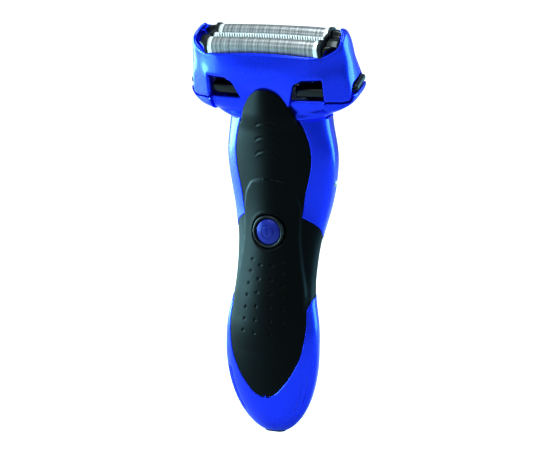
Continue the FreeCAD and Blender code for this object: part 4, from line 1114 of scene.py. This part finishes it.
# %% Apron between the windows
APRON_FOOT, FOOT_HALF, WINDOW_FILLET, TONGUE_DISH = 24.1, 9.3, 2.0, 0.9
h = APRON_FOOT + (APRON_TOP - APRON_FOOT) * np.linspace(0, 1, 22)[:, None] + 0 * columns[None, of_apron]
fillet = np.clip((h - (APRON_TOP - WINDOW_FILLET)) / WINDOW_FILLET, 0, 1)
flare = (APRON_HALF - WINDOW_FILLET - FOOT_HALF) * (h - APRON_FOOT) / (APRON_TOP - APRON_FOOT)
wide = FOOT_HALF + flare + WINDOW_FILLET * (1 - np.sqrt(1 - fillet**2))
x = columns[None, of_apron] / APRON_SHARE * wide
apron = outline(turn_at(x, h, FRAME_CURVES), h, FRAME_CURVES)
free_edge = np.concatenate([apron[:, 0], apron[:, -1], apron[0]])
falls = edge_round(distance_to(apron, free_edge), 0.7) * (1 - ease(APRON_TOP - 1.2, APRON_TOP, h))
apron = push_in(apron, falls)
apron[..., 1] += TONGUE_DISH * (1 - ease(5.0, 13.0, np.abs(apron[..., 0]))) * (1 - ease(29.0, APRON_TOP, h))
apron[-1] = upper[0, of_apron]
print("apron:", apron.shape[:2])

# %% Frame with its wall
surfaces = [to_world(grid) for grid in (upper, skirt, (skirt * MIRROR)[:, ::-1], apron)]
frame_shell = make_piece("head_frame_shell", surfaces, head_point(0, 0, 36), corner=48.0)
wall = give_wall(frame_shell, 3.3)
in_head = to_head(mesh_points(frame_shell.data))
of_side, of_skirt = ease(21.0, 27.5, np.abs(in_head[:, 0])), 1 - ease(35.0, 38.0, in_head[:, 2])
thickness = np.round(0.36 + 0.64 * np.maximum(of_side, of_skirt), 2)
group = frame_shell.vertex_groups.new(name="thick")
for share in np.unique(thickness):
    group.add(np.flatnonzero(thickness == share).tolist(), float(share), "REPLACE")
wall.vertex_group = group.name
dress(frame_shell, "head", "blue_gloss", FINISH["blue_gloss"], "head_frame")

# %% [markdown]
# ## Head base
#
# The base carries the frame. It is a blue bowl that grows out of the handle
# like two wings, with a recessed arm behind each window and a low ear under
# each release button.

# %% Bowl of the base
BOWL_FOOT, SILL, ARM_TOP, EAR = 11.5, 25.15, 27.0, 2.8
ring = around(columns, 24.0, BASE_CURVES)
of_front = (1 - ease(PILLAR_X - 1.4, PILLAR_X - 0.6, np.abs(ring[:, 0]))) * (ring[:, 1] < 0)
sill = SILL + front_step(ring[:, 1]) + EAR * side_gate(ring[:, 1]) * (np.abs(columns) > 1)
bowl_top = sill + (ARM_TOP - sill) * of_front
h = BOWL_FOOT + (bowl_top[None] - BOWL_FOOT) * np.linspace(0, 1, 40)[:, None]
bowl = around(columns[None], h, BASE_CURVES)
bowl[..., 1] += (1.7 * ease(18.8, 21.4, h) + 0.35 * ease(25.2, ARM_TOP, h)) * of_front[None]
bowl = push_in(bowl, edge_round(distance_to(bowl, bowl[-1]), 0.6))
base = make_piece("head_base_bowl", [to_world(bowl)], head_point(0, 0, 22), corner=48.0)
give_wall(base, 1.7)
dress(base, "handle", "blue_gloss", FINISH["blue_gloss"], "head_base")

# %% Deck inside the bowl
DECK_H, DECK_THICK = 19.6, np.array([0, 0, 1.3])
angle = turns(96)
from_front = np.where(angle > np.pi, angle - 2 * np.pi, angle)
deck_rim = outline(from_front, DECK_H + 0 * angle, BASE_CURVES) * (0.9, 0.84, 1.0)
hole_x, hole_u = 9.4 * signed_power(np.sin(angle), 0.4), -9.2 * signed_power(np.cos(angle), 0.4)
hole = np.stack([hole_x, hole_u, DECK_H + 0 * angle], -1)
loop = np.stack([deck_rim, deck_rim + DECK_THICK, hole + DECK_THICK, hole, deck_rim])
deck = make_piece("head_deck_plate", [to_world(loop)], wrap=True)
dress(deck, "handle", "black_plastic", FINISH["black_plastic"], "head_deck")


# %% Black bars behind the windows
def rounded_bar(start, stop, half_u, half_h, draw, end):
    """Bar along a line: at each station a rounded rectangle U cos^0.45, H sin^0.45, drawn in by the share
    draw over the last end millimetres, as 1 - draw (1 - sin) against end (1 - cos)."""
    angle, bend = turns(32), np.linspace(0, np.pi / 2, 7)
    section = np.stack([0 * angle, half_u * signed_power(np.cos(angle), 0.45),
                        half_h * signed_power(np.sin(angle), 0.45)], -1)
    reach = end * np.concatenate([[0.0], 1 - np.cos(bend)])
    size = np.concatenate([[0.0], 1 - draw * (1 - np.sin(bend))])
    way = (stop - start) / np.linalg.norm(stop - start)
    line = np.concatenate([start + np.outer(reach, way), stop - np.outer(reach[::-1], way)])
    return line[:, None] + section[None] * np.concatenate([size, size[::-1]])[:, None, None]


SIDES = {"right": 1, "left": -1}
for label, side in SIDES.items():
    start, stop = np.array([side * 11.6, -6.6, 29.2]), np.array([side * 23.6, -6.3, 29.6])
    grid = to_world(rounded_bar(start, stop, 3.4, 2.1, 0.3, 0.6))
    bar = make_piece(f"window_bar_{label}", [grid], wrap=True, corner=35.0)
    dress(bar, "handle", "black_gloss", FINISH["black_gloss"], f"head_block_{label}")

# %% Release buttons
PAD_X, PAD_U, PAD_H, PAD_HALF, PAD_SLOPE = 33.6, 0.6, 29.8, 4.9, 0.09
angle = turns(28)
u = PAD_U + PAD_HALF * np.sin(np.linspace(-np.pi / 2, np.pi / 2, 26))[:, None]
size = np.sqrt(np.clip(1 - np.clip((np.abs(u - PAD_U) - 3.6) / 1.3, 0, 1) ** 2, 0, 1))
x = PAD_X + size * 1.75 * signed_power(np.cos(angle), 0.7)
up = PAD_H + PAD_SLOPE * u + size * 1.15 * signed_power(np.sin(angle), 0.7)
for label, side in SIDES.items():
    grid = to_world(np.stack([side * x, u + 0 * x, up], -1))
    pad = make_piece(f"release_pad_{label}", [grid], wrap=True, corner=45.0)
    dress(pad, f"release_{label}", "black_plastic", FINISH["black_plastic"], f"release_button_{label}")

# %% [markdown]
# ## Shaving elements
#
# Two arched foils stand either side of a slotted guard. A foil is a steel sheet
# bent to a half round with thousands of tiny holes. It is a little higher in
# its middle, and at each end a bright plain strip holds it. The holes are far too
# small to model, so the steel's finish draws them: dots on a lattice, and the
# soft upright streaks that such a lattice shows.

# %% Finish of the perforated foil
DOTS_ALONG, DOTS_AROUND = 74.0, 15.0


def foil_finish():
    """Steel with dark dots where sin(2 pi n u) sin(2 pi m v) is high, and upright streaks from a noise
    along u."""
    material = make_finish("foil_mesh", (0.44, 0.39, 0.39), 0.85, 0.36, tone=0.05, relief="brushed",
                           scale=6000.0, height=0.004)
    tree = material.node_tree
    shader = tree.nodes["Principled BSDF"]
    uv = tree.nodes.new("ShaderNodeTexCoord").outputs["UV"]
    parts = add_node(tree, "ShaderNodeSeparateXYZ", [(0, uv)]).outputs
    waves = []
    for axis, count in ((0, DOTS_ALONG), (1, DOTS_AROUND)):
        phase = add_math(tree, "MULTIPLY", parts[axis], 2 * np.pi * count)
        waves.append(add_math(tree, "SINE", phase))
    dots = add_range(tree, add_math(tree, "MULTIPLY", *waves), (0.1, 0.55), (1.0, 0.45))
    only_x = add_node(tree, "ShaderNodeCombineXYZ", [(0, parts[0])])
    streak = add_node(tree, "ShaderNodeTexNoise",
                      [("Vector", only_x.outputs[0]), ("Scale", 52.0), ("Detail", 0.0)])
    band = add_range(tree, streak.outputs[0], (0.36, 0.66), (0.5, 1.1))
    shade = add_math(tree, "MULTIPLY", dots, band)
    plain = shader.inputs["Base Color"].links[0].from_socket
    tint = add_node(tree, "ShaderNodeVectorMath", [(0, plain), ("Scale", shade)], operation="SCALE")
    tree.links.new(tint.outputs[0], shader.inputs["Base Color"])
    return material


FINISH["foil_mesh"] = foil_finish()
FINISH["bright_strip"] = make_finish("bright_strip", (0.93, 0.88, 0.88), 0.35, 0.3, relief="brushed",
                                     scale=6000.0, height=0.003)
print("dots on a foil:", int(2 * DOTS_ALONG * DOTS_AROUND))

# %% Foils
FOIL_HALF, FOIL_PITCH, FOIL_R, FOIL_CREST, FOIL_FOOT, FOIL_SAG = 23.1, 5.4, 3.3, 50.0, 43.2, 0.55
SPRING_H = FOIL_CREST - FOIL_R
STRIP = 21.3


def foil_grid(centre):
    """Half round of FOIL_R about u = centre with straight skirts, lower by FOIL_SAG (x / half)^2."""
    strip = np.linspace(STRIP, FOIL_HALF, 4)
    x = np.concatenate([-strip[:0:-1], np.linspace(-STRIP, STRIP, 71), strip[1:]])
    bend = np.linspace(0, np.pi, 25)
    skirt = np.linspace(FOIL_FOOT, SPRING_H, 5)[:-1]
    u = np.concatenate([[centre - FOIL_R] * 4, centre - FOIL_R * np.cos(bend), [centre + FOIL_R] * 4])
    u = u[:, None]
    up = np.concatenate([skirt, SPRING_H + FOIL_R * np.sin(bend), skirt[::-1]])[:, None]
    sag = FOIL_SAG * (x[None] / FOIL_HALF) ** 2 * (up > 44)
    return np.stack([x[None] + 0 * u, u + 0 * x[None], up - sag], -1)


def wrap_uv(piece, centre):
    """UV map of a foil: u runs along x, v is the angle round the bend from 0 in front to 1 behind."""
    mesh = piece.data
    x, u, h = to_head(mesh_points(mesh)).T
    u = u - centre
    corner = np.empty(len(mesh.loops), dtype=np.int64)
    mesh.loops.foreach_get("vertex_index", corner)
    on_bend = h > SPRING_H - 0.6
    v = np.where(on_bend, np.arctan2(u, h - 45.0) / np.pi + 0.5, np.sign(u) * 0.5 + 0.5)
    flat = np.stack([(x + FOIL_HALF) / (2 * FOIL_HALF), v], 1)
    mesh.uv_layers.new(name="foil").data.foreach_set("uv", flat[corner].ravel())


for label, centre in (("front", -FOIL_PITCH), ("rear", FOIL_PITCH)):
    grid = to_world(foil_grid(centre))
    sheet = make_piece(f"foil_{label}_sheet", [grid], head_point(0, centre, 44), corner=60.0)
    give_wall(sheet, 0.3)
    wrap_uv(sheet, centre)
    dress(sheet, f"foil_{label}", "foil_steel", FINISH["foil_mesh"], f"foil_{label}")
    sheet.data.materials.append(FINISH["bright_strip"])
    middle_x = np.abs(face_values(sheet.data, "center")[:, 0]) / MM
    sheet.data.polygons.foreach_set("material_index", (middle_x > STRIP).astype(np.int32))

# %% Slotted guard
BARS, BAR_REACH, RAIL_U, RAIL_TOP, RAIL_TALL = 41, 21.2, 1.72, 47.9, 3.4


def closed_bar(line, section):
    """Section carried along a line, with both ends drawn to their middle points."""
    bar = line[:, None] + section[None]
    first, last = bar[:1].mean(1, keepdims=True), bar[-1:].mean(1, keepdims=True)
    return to_world(np.concatenate([first + 0 * bar[:1], bar, last + 0 * bar[-1:]]))


def slab(half_x, half_u, top, foot):
    """Four corners of a flat section, from top down to foot."""
    near, far = (-half_x, -half_u), (half_x, half_u)
    return np.array([(*near, top), (*far, top), (*far, foot), (*near, foot)])


share = np.linspace(-1, 1, 7)
arch = np.stack([0 * share, 1.75 * share, 49.15 - 1.3 * np.abs(share) ** 2.2], -1)
slant = np.stack([0.84 * np.abs(share) - 0.42, 0 * share, 0 * share], -1)
bars = [closed_bar(arch + slant + (x, 0, -0.5 * (x / 23) ** 2), slab(0.27, 0, 0.0, -0.45))
        for x in np.linspace(-BAR_REACH, BAR_REACH, BARS)]
bars += [closed_bar(arch + (side * 22.6, 0, -0.45), slab(0.9, 0, 0.1, -0.6)) for side in (-1, 1)]
x = np.linspace(-22.9, 22.9, 30)
for side in (-1, 1):
    rail = np.stack([x, side * RAIL_U + 0 * x, RAIL_TOP - 0.5 * (x / 23) ** 2], -1)
    bars.append(closed_bar(rail, slab(0, 0.2, 0.0, -RAIL_TALL)))
guard = make_piece("slotted_guard", bars, wrap=True, corner=30.0)
dress(guard, "slit", "foil_steel", FINISH["bright_strip"], "slit_guard")

# %% [markdown]
# ## Cassette
#
# The foils sit in a black cassette. What shows of it are two end blocks with a
# hump for each foil, and below the foils a thin frame holds the blocks
# together. A block is the humped outline carried outwards, and it stops where
# the head frame's wall begins.

# %% Cassette
HUMPS = np.array([
    (-8.2, 38.4), (-8.4, 41.0), (-8.3, 44.0), (-8.0, 45.2), (-7.4, 46.6), (-6.4, 47.5), (-5.4, 47.7),
    (-4.4, 47.4), (-3.4, 46.6), (-2.6, 46.8), (-1.6, 47.6), (0.0, 47.9), (1.6, 47.8), (2.6, 47.4),
    (3.4, 47.6), (4.4, 48.8), (5.4, 49.2), (6.4, 48.9), (7.6, 47.9), (8.8, 46.4), (9.5, 44.2),
    (9.6, 41.0), (9.4, 38.4)])
HUMP_MIDDLE = np.array([0.3, 42.0])
outwards = np.array([0.0, 0.0, 0.3, 0.55, 0.78, 0.92, 1.0, 1.0])[:, None]
tight = np.array([0.0, 1.0, 1.0, 1.0, 0.98, 0.95, 0.9, 0.0])[:, None, None]
wall_x = 29.4 * (1 - np.clip(np.abs(HUMPS[:, 0]) / 10.6, 0, 1) ** 3) ** (1 / 3)
x = PILLAR_X + (np.clip(wall_x, 24.9, 29.0)[None] - PILLAR_X) * outwards
ends = HUMP_MIDDLE + (HUMPS - HUMP_MIDDLE)[None] * tight
blocks = [to_world(np.concatenate([side * x[..., None], ends], -1)) for side in (-1, 1)]


def frame_ring(half_x, half_u):
    """Rounded rectangle of the thin frame at its foot."""
    angle = turns(23)
    u = 0.2 + half_u * signed_power(np.sin(angle), 0.3)
    return np.stack([half_x * signed_power(np.cos(angle), 0.18), u, 38.2 + 0 * angle], -1)


outer, inner, tall = frame_ring(24.9, 8.25), frame_ring(23.7, 7.3), np.array([0, 0, 3.4])
blocks.append(to_world(np.stack([outer, outer + tall, inner + tall, inner, outer])))
cassette = make_piece("cassette_body", blocks, wrap=True, corner=45.0)
dress(cassette, "head", "black_gloss", FINISH["black_gloss"], "foil_cassette")

# %% [markdown]
# ## Floor
#
# A pale floor carries the shaver.

# %% Floor
FLOOR_HALF = 4.0
corners = [(-FLOOR_HALF, -FLOOR_HALF, 0), (FLOOR_HALF, -FLOOR_HALF, 0), (FLOOR_HALF, FLOOR_HALF, 0),
           (-FLOOR_HALF, FLOOR_HALF, 0)]
mesh = bpy.data.meshes.new("floor")
mesh.from_pydata(corners, [], [(0, 1, 2, 3)])
floor = bpy.data.objects.new("floor", mesh)
bpy.context.scene.collection.objects.link(floor)
floor_white = make_finish("floor_white", (0.42, 0.42, 0.42), 0.0, 0.9, tone=0.02, scale=40.0, specular=0.0)
tree = floor_white.node_tree
shader = tree.nodes["Principled BSDF"]
ray = tree.nodes.new("ShaderNodeLightPath")
tree.links.new(ray.outputs["Is Camera Ray"], shader.inputs["Emission Strength"])
shader.inputs["Emission Color"].default_value = (1.0, 1.0, 1.0, 1.0)
mesh.materials.append(floor_white)
print("floor:", 2 * FLOOR_HALF, "m wide, white to the camera")
